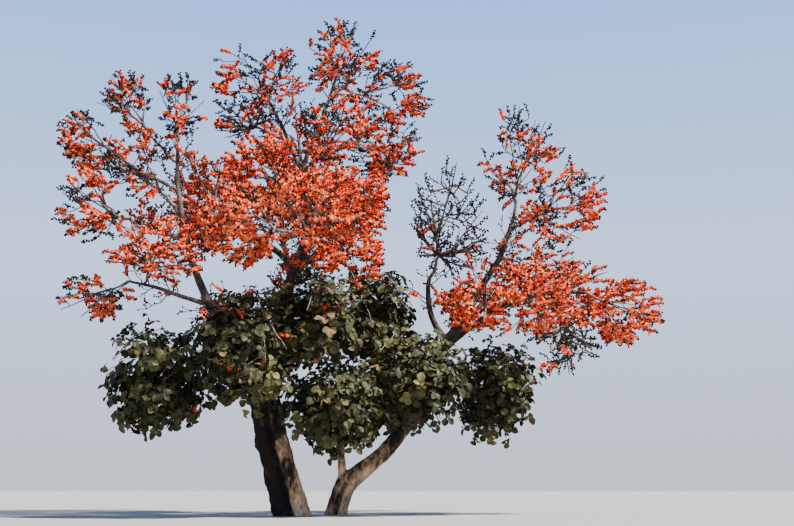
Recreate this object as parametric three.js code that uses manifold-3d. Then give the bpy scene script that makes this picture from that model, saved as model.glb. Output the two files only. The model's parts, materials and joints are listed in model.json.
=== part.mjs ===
// A flame tree in flower, 8.8 m tall and 10.5 m across: two trunks from one root, their stems and
// boughs, and a crown of separate masses. Blossom covers the bare upper twigs, dark buds stand on the
// thin middle ones, and big round leaves hang in a skirt below. Millimetres, +Z up, and the origin is
// on the ground, near the middle of the left trunk's flat cut.
import * as THREE from "three";
import { mergeVertices } from "three/addons/utils/BufferGeometryUtils.js";
import Module from "manifold-3d";

const wasm = await Module();
wasm.setup();

// Limbs, by what they grow from. Each is one tapering limb from a foot on the ground, or from a share
// of the way along another limb, to its tip. Bow is how far its middle stands off the straight line,
// and radius is at both ends.
const LIMBS = {
  ground: {
    left_trunk: { foot: [30, 20, 0], tip: [-530, 60, 2240], bow: [-45, -20, 20], radius: [245, 236] },
    right_trunk: { foot: [690, 950, 0], tip: [950, 930, 690], bow: [-20, -10, 10], radius: [146, 156] },
  },
  left_trunk: {
    left_stem: { at: 0.86, tip: [-1460, -350, 3540], bow: [100, -50, 130], radius: [155, 96] },
    middle_stem: { at: 0.9, tip: [50, 250, 4350], bow: [-120, 110, -60], radius: [128, 98] },
  },
  left_stem: {
    left_high_bough: { at: 0.96, tip: [-2010, -500, 6210], bow: [-150, -80, -10], radius: [72, 32] },
    left_low_bough: { at: 0.93, tip: [-2710, -700, 3830], bow: [-120, 70, 90], radius: [48, 24] },
  },
  middle_stem: {
    leader: { at: 0.98, tip: [50, 300, 6080], bow: [150, -30, 20], radius: [92, 60] },
    arching_bough: { at: 0.95, tip: [-1460, 200, 5060], bow: [40, -30, 110], radius: [64, 36] },
    shoulder_bough: { at: 0.97, tip: [1680, 500, 6200], bow: [110, 70, -160], radius: [66, 34] },
    front_bough: { at: 0.8, tip: [600, -2000, 4530], bow: [-10, -40, 100], radius: [64, 34] },
    back_bough: { at: 0.86, tip: [-500, 2400, 5840], bow: [-60, 170, 50], radius: [66, 34] },
  },
  leader: {
    top_left_bough: { at: 0.95, tip: [-560, 500, 7400], bow: [-40, 10, 100], radius: [44, 26] },
    top_right_bough: { at: 0.97, tip: [710, 100, 7830], bow: [20, -50, 10], radius: [48, 28] },
  },
  right_trunk: {
    small_stem: { at: 0.62, tip: [970, 650, 2100], bow: [-80, 0, 40], radius: [84, 48] },
    main_stem: { at: 0.8, tip: [2660, 1000, 3110], bow: [190, -30, -200], radius: [155, 95] },
  },
  main_stem: {
    bare_bough: { at: 0.98, tip: [2360, 650, 4160], bow: [-150, -40, 40], radius: [64, 42] },
    curved_bough: { at: 0.97, tip: [3850, 700, 5150], bow: [180, -40, 70], radius: [76, 44] },
    far_right_bough: { at: 0.93, tip: [5120, 600, 3860], bow: [-30, 10, 330], radius: [70, 32] },
    right_back_bough: { at: 0.9, tip: [3930, 2900, 4330], bow: [-50, 60, 130], radius: [60, 35] },
  },
};

// Masses, by what their twigs carry. Each hangs by one stem from a share of the way along its limb,
// round its own centre, and reaches that far along X, Y and Z.
const MASSES = {
  bloom: {
    top_peak: { limb: "top_right_bough", at: 1.0, centre: [780, 0, 8100], reach: [700, 750, 660] },
    top_left: { limb: "top_left_bough", at: 1.0, centre: [-720, 500, 7870], reach: [920, 850, 640] },
    top_right: { limb: "top_right_bough", at: 0.75, centre: [1650, -100, 7320], reach: [730, 800, 610] },
    upper_front: { limb: "leader", at: 0.9, centre: [840, -900, 6330], reach: [740, 850, 680] },
    upper_right: { limb: "shoulder_bough", at: 1.0, centre: [1570, 700, 6620], reach: [720, 900, 710] },
    upper_back: { limb: "leader", at: 0.8, centre: [-140, 1700, 7020], reach: [900, 800, 740] },
    spire_left: { limb: "left_high_bough", at: 0.9, centre: [-2890, -500, 6910], reach: [550, 750, 620] },
    spire_right: { limb: "left_high_bough", at: 1.0, centre: [-2040, -400, 6970], reach: [450, 700, 600] },
    tip_left_high: { limb: "left_high_bough", at: 0.72, centre: [-3540, -300, 6430], reach: [580, 800, 550] },
    tip_left: { limb: "left_high_bough", at: 0.4, centre: [-3380, -800, 5090], reach: [590, 800, 610] },
    inner_left_high: { limb: "left_high_bough", at: 0.55, centre: [-2570, -600, 5780], reach: [630, 900, 660] },
    tip_left_low: { limb: "left_low_bough", at: 1.0, centre: [-3250, -700, 3530], reach: [650, 600, 380] },
    inner_left: { limb: "left_low_bough", at: 0.75, centre: [-2150, -1200, 4320], reach: [810, 900, 700] },
    band_left: { limb: "arching_bough", at: 1.0, centre: [-1640, 300, 5600], reach: [840, 1000, 740] },
    band_left_front: { limb: "front_bough", at: 0.75, centre: [-600, -2000, 4460], reach: [750, 950, 660] },
    band_left_back: { limb: "back_bough", at: 0.85, centre: [-1820, 2400, 5740], reach: [910, 1000, 750] },
    band_front: { limb: "front_bough", at: 1.0, centre: [540, -2500, 4620], reach: [730, 900, 630] },
    band_middle: { limb: "leader", at: 0.5, centre: [-450, -600, 5800], reach: [790, 900, 580] },
    band_back: { limb: "back_bough", at: 1.0, centre: [-90, 2900, 6180], reach: [980, 900, 780] },
    band_right: { limb: "shoulder_bough", at: 0.75, centre: [970, -600, 5300], reach: [680, 900, 690] },
    band_right_back: { limb: "shoulder_bough", at: 0.55, centre: [880, 2000, 5660], reach: [770, 900, 740] },
    droop_right: { limb: "shoulder_bough", at: 0.3, centre: [970, -1000, 4160], reach: [610, 800, 570] },
    right_peak: { limb: "curved_bough", at: 1.0, centre: [4040, 600, 6320], reach: [790, 900, 1060] },
    right_shoulder: { limb: "curved_bough", at: 0.92, centre: [4710, 500, 5540], reach: [850, 900, 770] },
    fan_front: { limb: "far_right_bough", at: 0.55, centre: [3960, -600, 3500], reach: [770, 900, 610] },
    fan_inner: { limb: "far_right_bough", at: 0.35, centre: [3190, -200, 3530], reach: [710, 800, 510] },
    fan_back: { limb: "right_back_bough", at: 1.0, centre: [4520, 2600, 4730], reach: [990, 900, 700] },
    fan_middle: { limb: "far_right_bough", at: 0.8, centre: [5050, 900, 3890], reach: [740, 900, 590] },
    fan_tip: { limb: "far_right_bough", at: 1.0, centre: [5750, 500, 3500], reach: [720, 850, 580] },
  },
  bare: {
    upper_left: { limb: "top_left_bough", at: 0.35, centre: [-1150, 100, 6940], reach: [760, 500, 320] },
    bare_crown: { limb: "bare_bough", at: 1.0, centre: [2720, 700, 5220], reach: [710, 800, 1190] },
    fan_under: { limb: "far_right_bough", at: 0.9, centre: [4660, 300, 2890], reach: [640, 600, 540] },
  },
  leaf: {
    leaves_left: { limb: "left_stem", at: 0.6, centre: [-1980, -1300, 2190], reach: [760, 1050, 900] },
    leaves_front: { limb: "left_stem", at: 0.45, centre: [-620, -1700, 2550], reach: [880, 900, 860] },
    leaves_middle: { limb: "middle_stem", at: 0.55, centre: [410, -1200, 3130], reach: [770, 1000, 740] },
    leaves_back: { limb: "middle_stem", at: 0.42, centre: [-770, 1900, 3300], reach: [1150, 1000, 870] },
    leaves_right_high: { limb: "middle_stem", at: 0.68, centre: [1320, 200, 3450], reach: [760, 1000, 800] },
    leaves_low: { limb: "small_stem", at: 1.0, centre: [730, -900, 1810], reach: [810, 900, 770] },
    leaves_right_low: { limb: "main_stem", at: 0.48, centre: [2160, -400, 2280], reach: [830, 950, 860] },
    leaves_right_back: { limb: "main_stem", at: 0.6, centre: [1560, 2600, 2470], reach: [1000, 900, 930] },
    leaves_hanging: { limb: "main_stem", at: 0.72, centre: [3490, 600, 2220], reach: [660, 900, 930] },
  },
};

// What the twigs of each kind of mass carry: the size of one spray along its own line, across it and
// through it, how much that line hangs and turns away from the twig's, how far a spray is rolled, and
// how many twigs a mass has at most, each with a spray at its end.
const SPRAYS = {
  bloom: { size: [660, 500, 390], hang: 0.1, turn: 0.35, roll: 3.14, most: 7 },
  bare: { size: [430, 150, 130], hang: -0.2, turn: 0.3, roll: 3.14, most: 6 },
  leaf: { size: [600, 620, 64], hang: 1.3, turn: 0.5, roll: 0.3, most: 7 },
};
const SPRAY = {
  widest: 0.45, // share of its length where it is widest
  grown: [0.85, 0.3], // the least of its own size, and what chance adds to that
  usual_reach: 760, // a mass of this reach has sprays of their own size
  smallest: 0.75, // and those of a small mass are this much of it at least
  upright: 0.05, // steeper than this, a spray's side can't be found from the vertical
};

const GAP = 0.35; // left clear between two limbs, or a limb and a mass's stem
const ROOM = 20; // kept free between two masses, and between a twig and a limb
const SWELL = 1.08; // a mass's sprays may stand out of its reach by this much

// Trunks: their sides and steps, the share of the length over which their sections turn from level to
// square across, the share where the end begins to be rounded and how much, and how far the two stems
// that each is fused from stand out of its round. At the foot, a trunk spreads and has toes, less with
// height.
const TRUNK = { sides: 16, steps: 8, level: 0.5, end: 0.85, rounded: 0.6, lobes: 0.09 };
const FLARE = { height: 400, spread: 0.26, toes: 5, toe_depth: 0.09 };
// A limb over a stout radius has more sides, and one with more bow more steps.
const LIMB = { sides: 6, stout: 100, stout_sides: 8, steps: 3, bow_of_a_step: 80 };
const SAMPLES = 24; // places along a limb where its distance is measured
const NEAR = 0.01; // half the stretch of a limb that its direction is measured on
const WELD = 1e-4; // corners nearer than this are one

// A mass's stem against its limb, its thin end, and how far back from the mass's centre it stops: this
// share of the way to its foot, or of the mass's reach, whichever is less.
const STEM = { share: 0.75, most: 52, end: 36, back: 0.8, inside: 0.6 };
const TWIG = {
  sides: 3,
  sunk: 24, // how deep its foot is in the stem's end
  thinned: 0.45, // a twig's foot against what it grows from
  taper: 0.7, // its tip against its foot
  least: 6,
  knot: 0.4, // share of its length where later twigs may grow from it
  waist: 0.88, // its thickness there against its foot
  detour: 0.5, // how much a long way back to the stem counts against a knot
  tested: [0.3, 0.5, 0.7, 0.85, 1], // where it has to be clear of everything
};
const ENDS = { tried: 400, spacing: 0.68 }; // places tried in a mass, and how far apart in spray lengths
const SIDES = { at: [0.35, 0.6, 0.85], spacing: 0.59, ahead: 0.5 }; // side sprays on a twig, leaning ahead
const CHANCE = { times: 1664525, plus: 1013904223, range: 2 ** 32 }; // the seeded row of numbers
const BARK = { color: 0x4b4038, roughness: 0.95 };
const FINISHES = {
  bloom: { color: 0xe8562a, roughness: 0.6 },
  bare: { color: 0x2b2522, roughness: 0.9 },
  leaf: { color: 0x4c5530, roughness: 0.7 },
};

const UP = new THREE.Vector3(0, 0, 1);
const vector = (list) => new THREE.Vector3(...list);

// The rows of a table in one list, each with its name and its group.
function rowsOf(table) {
  return Object.entries(table).flatMap(([group, rows]) =>
    Object.entries(rows).map(([name, row]) => ({ group, name, ...row })),
  );
}

// The same row of numbers from 0 to 1 for the same seed.
function seeded(seed) {
  let state = seed >>> 0;
  return () => {
    state = (Math.imul(state, CHANCE.times) + CHANCE.plus) >>> 0;
    return state / CHANCE.range;
  };
}

// A limb's line is bowed from its start to its tip.
function limbPoint(limb, t) {
  return limb.start
    .clone()
    .lerp(limb.tip, t)
    .addScaledVector(limb.bow, 4 * t * (1 - t));
}

function limbRadius(limb, t) {
  return THREE.MathUtils.lerp(limb.radius[0], limb.radius[1], t);
}

function readLimbs() {
  const limbs = [];
  for (const { group, name, foot, at, tip, bow, radius } of rowsOf(LIMBS)) {
    const parent = limbs.find((limb) => limb.name === group);
    const start = parent ? limbPoint(parent, at) : vector(foot);
    const limb = { name, rooted: !parent, start, tip: vector(tip), bow: vector(bow), radius };
    limb.places = Array.from({ length: SAMPLES + 1 }, (_, i) => ({
      point: limbPoint(limb, i / SAMPLES),
      radius: limbRadius(limb, i / SAMPLES),
    }));
    limbs.push(limb);
  }
  return limbs;
}

// A closed solid from a geometry that shares its vertices.
function solidFrom(geometry) {
  geometry.deleteAttribute("normal");
  geometry.deleteAttribute("uv");
  const merged = mergeVertices(geometry, WELD);
  return new wasm.Manifold(
    new wasm.Mesh({
      numProp: 3,
      vertProperties: new Float32Array(merged.attributes.position.array),
      triVerts: new Uint32Array(merged.index.array),
    }),
  );
}

// A round bar bent along a line: pointAt(t) is its centre, radiusAt(t, angle) its edge and facingAt(t)
// the way its section looks. It is thicker all round, and longer at both ends, by clear.
function bentBar({ pointAt, radiusAt, facingAt, sides, steps, clear }) {
  const bar = new THREE.CylinderGeometry(1, 1, 1, sides, steps);
  const places = bar.getAttribute("position");
  const across = leastAxis(pointAt(1).sub(pointAt(0)));
  for (let i = 0; i < places.count; i++) {
    const t = THREE.MathUtils.clamp(places.getY(i) + 0.5, 0, 1);
    const angle = Math.atan2(places.getZ(i), places.getX(i));
    const along = facingAt(t);
    const side = across.clone().cross(along).normalize();
    const front = side.clone().cross(along);
    const rim = Math.hypot(places.getX(i), places.getZ(i)) * (radiusAt(t, angle) + clear);
    const pastEnd = clear * Math.trunc(2 * places.getY(i));
    const place = pointAt(t)
      .addScaledVector(along, pastEnd)
      .addScaledVector(side, rim * Math.cos(angle))
      .addScaledVector(front, rim * Math.sin(angle));
    places.setXYZ(i, place.x, place.y, place.z);
  }
  return solidFrom(bar);
}

// The axis that a direction has least of.
function leastAxis(direction) {
  const sizes = direction.toArray().map(Math.abs);
  const axis = [0, 0, 0];
  axis[sizes.indexOf(Math.min(...sizes))] = 1;
  return vector(axis);
}

// A limb's solid. A trunk stands on a flat cut, spreads into toes at the ground, and shows the two
// stems that it is fused from.
function limbSolid(limb, clear = 0) {
  const ownFacing = (t) => {
    const ahead = limbPoint(limb, Math.min(1, t + NEAR));
    return ahead.sub(limbPoint(limb, Math.max(0, t - NEAR))).normalize();
  };
  const trunkFacing = (t) => {
    const turned = THREE.MathUtils.smoothstep(t, 0, TRUNK.level);
    return UP.clone().lerp(ownFacing(t), turned).normalize();
  };
  const trunkRadius = (t, angle) => {
    const spread = Math.exp(-limbPoint(limb, t).z / FLARE.height);
    const lobes = 1 + TRUNK.lobes * Math.cos(2 * angle);
    const toes = 1 + spread * (FLARE.spread + FLARE.toe_depth * Math.cos(FLARE.toes * angle));
    const rounded = Math.max(0, t - TRUNK.end) / (1 - TRUNK.end);
    return limbRadius(limb, t) * lobes * toes * Math.sqrt(1 - TRUNK.rounded * rounded ** 2);
  };
  const boughSides = limb.radius[0] > LIMB.stout ? LIMB.stout_sides : LIMB.sides;
  const boughSteps = LIMB.steps + Math.round(limb.bow.length() / LIMB.bow_of_a_step);
  return bentBar({
    pointAt: (t) => limbPoint(limb, t),
    radiusAt: limb.rooted ? trunkRadius : (t) => limbRadius(limb, t),
    facingAt: limb.rooted ? trunkFacing : ownFacing,
    sides: limb.rooted ? TRUNK.sides : boughSides,
    steps: limb.rooted ? TRUNK.steps : boughSteps,
    clear,
  });
}

// A mass's stem.
function stemSolid({ foot, tip, radius }, clear = 0) {
  const along = tip.clone().sub(foot).normalize();
  return bentBar({
    pointAt: (t) => foot.clone().lerp(tip, t),
    radiusAt: (t) => THREE.MathUtils.lerp(radius[0], radius[1], t),
    facingAt: () => along,
    sides: TWIG.sides,
    steps: 1,
    clear,
  });
}

// The outermost places of a spray: its tip and the three corners where it is widest.
function sprayCorners({ root, along, across, size }) {
  const through = across.clone().cross(along);
  const middle = root.clone().addScaledVector(along, SPRAY.widest * size[0]);
  const corners = [0, 1, 2].map((k) => {
    const angle = (2 * Math.PI * k) / TWIG.sides;
    return middle
      .clone()
      .addScaledVector(across, (size[1] / 2) * Math.cos(angle))
      .addScaledVector(through, (size[2] / 2) * Math.sin(angle));
  });
  return [root.clone().addScaledVector(along, size[0]), ...corners];
}

// A three-sided ring of places round a centre, for a twig that looks ahead.
function twigRing(centre, ahead, across, radius) {
  const front = across.clone().cross(ahead).normalize();
  const side = ahead.clone().cross(front);
  return [0, 1, 2].map((k) => {
    const angle = (2 * Math.PI * k) / TWIG.sides;
    return centre
      .clone()
      .addScaledVector(side, radius * Math.cos(angle))
      .addScaledVector(front, radius * Math.sin(angle));
  });
}

// A spray in one three-sided piece: from its root out to where it is widest, and in again to its tip.
// An end spray begins at the foot of the twig that carries it.
function spraySolid(spray) {
  const { foot, root, radius, across } = spray;
  const [tip, ...corners] = sprayCorners(spray);
  const rings = [[root, root, root], corners, [tip, tip, tip]];
  if (foot) {
    const ahead = root.clone().sub(foot).normalize();
    rings.splice(0, 1, twigRing(foot, ahead, across, radius[0]), twigRing(root, ahead, across, radius[1]));
  }
  const shape = foot
    ? new THREE.CylinderGeometry(0, 1, 2, TWIG.sides, 3)
    : new THREE.SphereGeometry(1, TWIG.sides, 2, Math.PI);
  const places = shape.getAttribute("position");
  for (let i = 0; i < places.count; i++) {
    const row = Math.round(((places.getY(i) + 1) / 2) * (rings.length - 1));
    const angle = Math.atan2(places.getZ(i), places.getX(i));
    const k = (Math.round((angle * TWIG.sides) / (2 * Math.PI)) + TWIG.sides) % TWIG.sides;
    const inMiddle = Math.hypot(places.getX(i), places.getZ(i)) < 0.5;
    const place = foot && row === 0 && inMiddle ? foot : rings[row][k];
    places.setXYZ(i, place.x, place.y, place.z);
  }
  return solidFrom(shape);
}

// Each mass with its stem, which leaves its limb and stops short of the mass's centre.
function readMasses(limbs) {
  return rowsOf(MASSES).map((row, number) => {
    const limb = limbs.find((other) => other.name === row.limb);
    const centre = vector(row.centre);
    const reach = vector(row.reach);
    const foot = limbPoint(limb, row.at);
    const away = foot.clone().sub(centre).divide(reach).length();
    const tip = centre.clone().lerp(foot, Math.min(STEM.back, STEM.inside / away));
    const thick = Math.min(STEM.most, STEM.share * limbRadius(limb, row.at));
    return {
      name: row.name,
      number,
      kind: row.group,
      centre,
      reach,
      weight: Math.cbrt(row.reach[0] * row.reach[1] * row.reach[2]) ** 2,
      stem: { foot, tip, radius: [thick, Math.min(thick, STEM.end)] },
    };
  });
}

// The space of a mass: inside its own reach, and on its side of the flat border between it and each
// other mass, so that no two masses meet.
function inSpace(mass, masses, point) {
  const away = point.clone().sub(mass.centre).divide(mass.reach);
  if (away.length() > SWELL) return false;
  const own = point.distanceToSquared(mass.centre) - mass.weight;
  return masses.every((other) => {
    if (other === mass) return true;
    const theirs = point.distanceToSquared(other.centre) - other.weight;
    return theirs - own > 2 * ROOM * mass.centre.distanceTo(other.centre);
  });
}

function distanceToLine(line, point) {
  const run = line.tip.clone().sub(line.foot);
  const t = THREE.MathUtils.clamp(point.clone().sub(line.foot).dot(run) / run.lengthSq(), 0, 1);
  return line.foot.clone().addScaledVector(run, t).distanceTo(point);
}

// True where a point stands clear of every limb and of the stems of all other masses.
function standsClear(mass, masses, limbs, point) {
  const offLimbs = limbs.every((limb) =>
    limb.places.every((place) => place.point.distanceTo(point) > place.radius + ROOM),
  );
  const offStems = masses.every(
    (other) => other === mass || distanceToLine(other.stem, point) > other.stem.radius[0] + ROOM,
  );
  return offLimbs && offStems;
}

// A spray with its root at a place, looking along a direction but hanging, turned and rolled as its
// kind is.
function sprayFrom(mass, root, out, random) {
  const { size, hang, turn, roll } = SPRAYS[mass.kind];
  const own = THREE.MathUtils.clamp(Math.sqrt(mass.weight) / SPRAY.usual_reach, SPRAY.smallest, 1);
  const grown = own * (SPRAY.grown[0] + SPRAY.grown[1] * random());
  const along = out.clone().addScaledVector(UP, -hang);
  along.applyAxisAngle(UP, turn * (2 * random() - 1)).normalize();
  const across = UP.clone().cross(along);
  if (across.length() < SPRAY.upright) across.set(1, 0, 0).cross(along);
  across.normalize().applyAxisAngle(along, roll * (2 * random() - 1));
  const centre = root.clone().addScaledVector(along, 0.5 * grown * size[0]);
  return { root, along, across, centre, size: size.map((length) => grown * length) };
}

// True where a spray's middle is further from those of all others than a share of its length.
function standsApart(spray, others, share) {
  return others.every((other) => other.centre.distanceTo(spray.centre) > share * spray.size[0]);
}

function fits(spray, open) {
  return [spray.centre, ...sprayCorners(spray)].every(open);
}

// A mass's end sprays: from seeded places in its reach, each looking away from the stem, those whose
// tips reach furthest out come first. Any that would leave the mass's space, or meet a limb or an
// earlier spray, are left out.
function endSprays(mass, open, random) {
  const tried = Array.from({ length: ENDS.tried }, () => {
    const share = Math.cbrt(random());
    const place = anyDirection(random).multiplyScalar(share).multiply(mass.reach).add(mass.centre);
    const spray = sprayFrom(mass, place, place.clone().sub(mass.stem.tip).normalize(), random);
    const [tip] = sprayCorners(spray);
    return { spray, out: tip.sub(mass.centre).divide(mass.reach).length() };
  }).sort((a, b) => b.out - a.out);
  const ends = [];
  for (const { spray } of tried) {
    const room = ends.length < SPRAYS[mass.kind].most && standsApart(spray, ends, ENDS.spacing);
    if (room && fits(spray, open)) ends.push(spray);
  }
  return ends.sort((a, b) => a.root.distanceTo(mass.stem.tip) - b.root.distanceTo(mass.stem.tip));
}

// A direction for two seeded numbers, any as likely as another.
function anyDirection(random) {
  const height = 2 * random() - 1;
  const angle = 2 * Math.PI * random();
  const ring = Math.sqrt(1 - height * height);
  return new THREE.Vector3(ring * Math.cos(angle), ring * Math.sin(angle), height);
}

// A mass's sprays, each with its twig. Each end spray, nearest first, is joined to the knot that makes
// its way from the stem the shortest. The middle of its twig is a knot for later, thinner twigs, and
// side sprays stand on it where there's room.
function growMass(mass, masses, limbs) {
  const random = seeded(mass.number + 1);
  const open = (point) => inSpace(mass, masses, point) && standsClear(mass, masses, limbs, point);
  const heart = mass.stem.tip.clone().add(mass.stem.foot.clone().sub(mass.stem.tip).setLength(TWIG.sunk));
  const knots = [{ point: heart, way: 0, thick: mass.stem.radius[1] }];
  const sprays = [];
  for (const end of endSprays(mass, open, random)) {
    const cost = (knot) => knot.point.distanceTo(end.root) + TWIG.detour * knot.way;
    const knot = knots.reduce((best, next) => (cost(next) < cost(best) ? next : best));
    const at = (t) => knot.point.clone().lerp(end.root, t);
    if (!TWIG.tested.every((t) => open(at(t)))) continue;
    const thick = Math.max(TWIG.least, TWIG.thinned * knot.thick);
    const thin = Math.max(TWIG.least, TWIG.taper * thick);
    const length = knot.point.distanceTo(end.root);
    sprays.push({ ...end, foot: knot.point, radius: [thick, thin] });
    knots.push({ point: at(TWIG.knot), way: knot.way + TWIG.knot * length, thick: TWIG.waist * thick });
    const ahead = end.root.clone().sub(knot.point).normalize();
    for (const t of SIDES.at) {
      const sideways = ahead.clone().cross(anyDirection(random)).normalize();
      const out = sideways.addScaledVector(ahead, SIDES.ahead).normalize();
      const side = sprayFrom(mass, at(t), out, random);
      if (standsApart(side, sprays, SIDES.spacing) && fits(side, open)) sprays.push(side);
    }
  }
  return sprays;
}

// The largest closed body of a solid, with any loose scrap and any sealed hollow left out.
function largest(solid) {
  const bodies = solid.decompose();
  return bodies.reduce((best, next) => (next.volume() > best.volume() ? next : best));
}

function boxesMeet(a, b) {
  const one = a.boundingBox();
  const two = b.boundingBox();
  return [0, 1, 2].every((k) => one.min[k] <= two.max[k] && two.min[k] <= one.max[k]);
}

function cutClear(solid, cutters) {
  const near = cutters.filter((cutter) => boxesMeet(solid, cutter));
  return near.reduce((left, cutter) => left.subtract(cutter), solid);
}

function meshOf(name, solid, finish) {
  const made = solid.getMesh();
  const geometry = new THREE.BufferGeometry();
  const places = new Float32Array(made.numVert * 3);
  for (let i = 0; i < made.numVert; i++) {
    places.set(made.vertProperties.subarray(i * made.numProp, i * made.numProp + 3), i * 3);
  }
  geometry.setAttribute("position", new THREE.BufferAttribute(places, 3));
  geometry.setIndex(new THREE.BufferAttribute(made.triVerts, 1));
  const mesh = new THREE.Mesh(geometry, new THREE.MeshStandardMaterial({ ...finish, metalness: 0 }));
  mesh.name = name;
  return mesh;
}

function buildTree() {
  const tree = new THREE.Group();
  const limbs = readLimbs();
  const around = []; // every limb made so far, a gap thicker
  for (const limb of limbs) {
    tree.add(meshOf(limb.name, largest(cutClear(limbSolid(limb), around)), BARK));
    around.push(limbSolid(limb, GAP));
  }

  const masses = readMasses(limbs);
  const stems = masses.map((mass) => stemSolid(mass.stem, GAP));
  for (const mass of masses) {
    const crown = wasm.Manifold.union(growMass(mass, masses, limbs).map(spraySolid));
    const others = stems.filter((stem, number) => number !== mass.number);
    const stem = cutClear(stemSolid(mass.stem), stems.slice(0, mass.number));
    const whole = largest(cutClear(stem.add(cutClear(crown, others)), around));
    tree.add(meshOf(mass.name, whole, FINISHES[mass.kind]));
  }
  return tree;
}

export default buildTree();
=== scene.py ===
"""A flame tree in flower, dressed round its solids. Metres, +Z up.

The trunks, stems and boughs get one skin of bark. Each mass of the crown is grown again by the rule
that its solid was grown by, and then carried on by the same rule to finer twigs, which bear blossom,
dark buds or leaves.
"""
import json
import logging
import math
from dataclasses import dataclass, field
from enum import Enum

import bmesh
import bpy
import numpy as np
from mathutils import Matrix, Vector, noise

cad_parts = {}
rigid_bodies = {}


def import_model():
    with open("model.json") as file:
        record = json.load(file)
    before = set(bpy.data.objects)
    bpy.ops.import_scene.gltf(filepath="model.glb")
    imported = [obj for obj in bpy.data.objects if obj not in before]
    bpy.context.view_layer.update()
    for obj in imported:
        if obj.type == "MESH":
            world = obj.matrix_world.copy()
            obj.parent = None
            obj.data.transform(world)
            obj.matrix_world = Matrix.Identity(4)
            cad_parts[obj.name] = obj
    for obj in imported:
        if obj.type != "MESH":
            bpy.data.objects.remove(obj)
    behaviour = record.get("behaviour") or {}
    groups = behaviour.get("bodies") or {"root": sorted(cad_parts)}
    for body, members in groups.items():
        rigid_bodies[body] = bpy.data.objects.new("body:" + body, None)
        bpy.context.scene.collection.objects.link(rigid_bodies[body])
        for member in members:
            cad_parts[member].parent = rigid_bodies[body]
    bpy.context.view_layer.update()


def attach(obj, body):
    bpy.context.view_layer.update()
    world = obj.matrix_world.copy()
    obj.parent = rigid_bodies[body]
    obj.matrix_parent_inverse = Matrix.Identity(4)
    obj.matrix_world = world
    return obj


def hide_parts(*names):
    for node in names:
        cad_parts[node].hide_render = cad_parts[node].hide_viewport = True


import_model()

log = logging.getLogger("flame_tree")
Array = np.ndarray
Point = tuple[float, float, float]
Color = tuple[float, float, float]
Pair = tuple[float, float]
Stops = tuple[tuple[float, Color], ...]

UP = np.array([0.0, 0.0, 1.0])

# What a limb that stands on the ground grows from, and the skin's attribute for the painted shade and
# painted light on its bark.
GROUND = "ground"
PAINTED_SHADE = "painted_shade"

# A mass's twigs may pass its reach by this share, and keep this room from its borders, the limbs and
# the other masses' stems. Only limbs that come this near to its reach count, each at so many places.
SWELL = 1.08
ROOM = 0.020
LIMB_NEAR = 0.5
LIMB_PLACES = 24

# Sprays have their full size in masses of the usual reach, and are smaller in smaller ones, though not
# under a share. Chance then makes them of a least size or up to so much larger.
USUAL_REACH = 0.76
SMALLEST = 0.75
GROWN = (0.85, 0.3)

# Where along itself a spray is widest, and the lean under which it counts as upright.
WIDEST = 0.45
UPRIGHT = 0.05

# A stem's radius is a share of its limb's, up to a most, and thins to its end. It ends a share of the way
# from the mass's centre back to its foot, and no further from the centre than a share of the reach.
STEM_SHARE, STEM_MOST, STEM_END = 0.75, 0.052, 0.036
STEM_BACK, STEM_INSIDE = 0.8, 0.6

# The line in a spray is this share of the spray's length. Finer twigs may leave it at these shares of
# the length, where the way back to the stem counts this much and the share more. At the spray's tip it
# would have thinned by the last.
LINE_SHARE = 0.9
LINE_KNOTS = (0.0, 0.3, 0.6)
LINE_WAY = 0.4
LINE_THINNED = 0.4

# The sizes of the noises that leave gaps among the fine twigs and gather them in lobes.
GAP_SIZE = 0.6
LOBE_SIZE = 0.45

# A roll of half a round either way, a full round, and the turn from one leaf or flower to the next.
ANY_WAY = 3.14
FULL_ROUND = 6.28
LEAF_TURN = 2.4

# How far apart along a limb its direction is read, the end of a line as a share that is still on it, and
# how strong the kinks in a crooked line are against its swing.
NEAR = 0.01
LINE_END = 0.9999
KINK = 0.5

# The seeds of the stems, of the blossom, of the leaves and of the side twigs.
TWIG_SEED, BLOSSOM_SEED, LEAF_SEED, SIDE_SEED = 11, 12, 13, 14

# Added to the upward direction, so that it is never quite a bud's own, and a share of a trunk's length
# that counts as its foot.
OFF_LINE = 0.01
HARDLY = 0.001


class Kind(Enum):
    """What the twigs of a mass carry."""

    BLOOM = "bloom"
    BARE = "bare"
    LEAF = "leaf"


class Slot(Enum):
    """The record's material slots."""

    BARK = "bark"
    BLOSSOM = "blossom"
    BUDS = "buds"
    LEAVES = "leaves"


@dataclass(frozen=True)
class LimbRow:
    """A limb's named sizes: what it grows from, its foot or its share of the way, tip, bow, radii."""

    parent: str
    start: float | Point
    tip: Point
    bow: Point
    radius: Pair


@dataclass(frozen=True)
class MassRow:
    """A mass's named sizes: its limb and where it hangs there, its centre, reach, and share in bloom."""

    limb: str
    at: float
    centre: Point
    reach: Point
    bloom: float = 0.0


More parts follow.
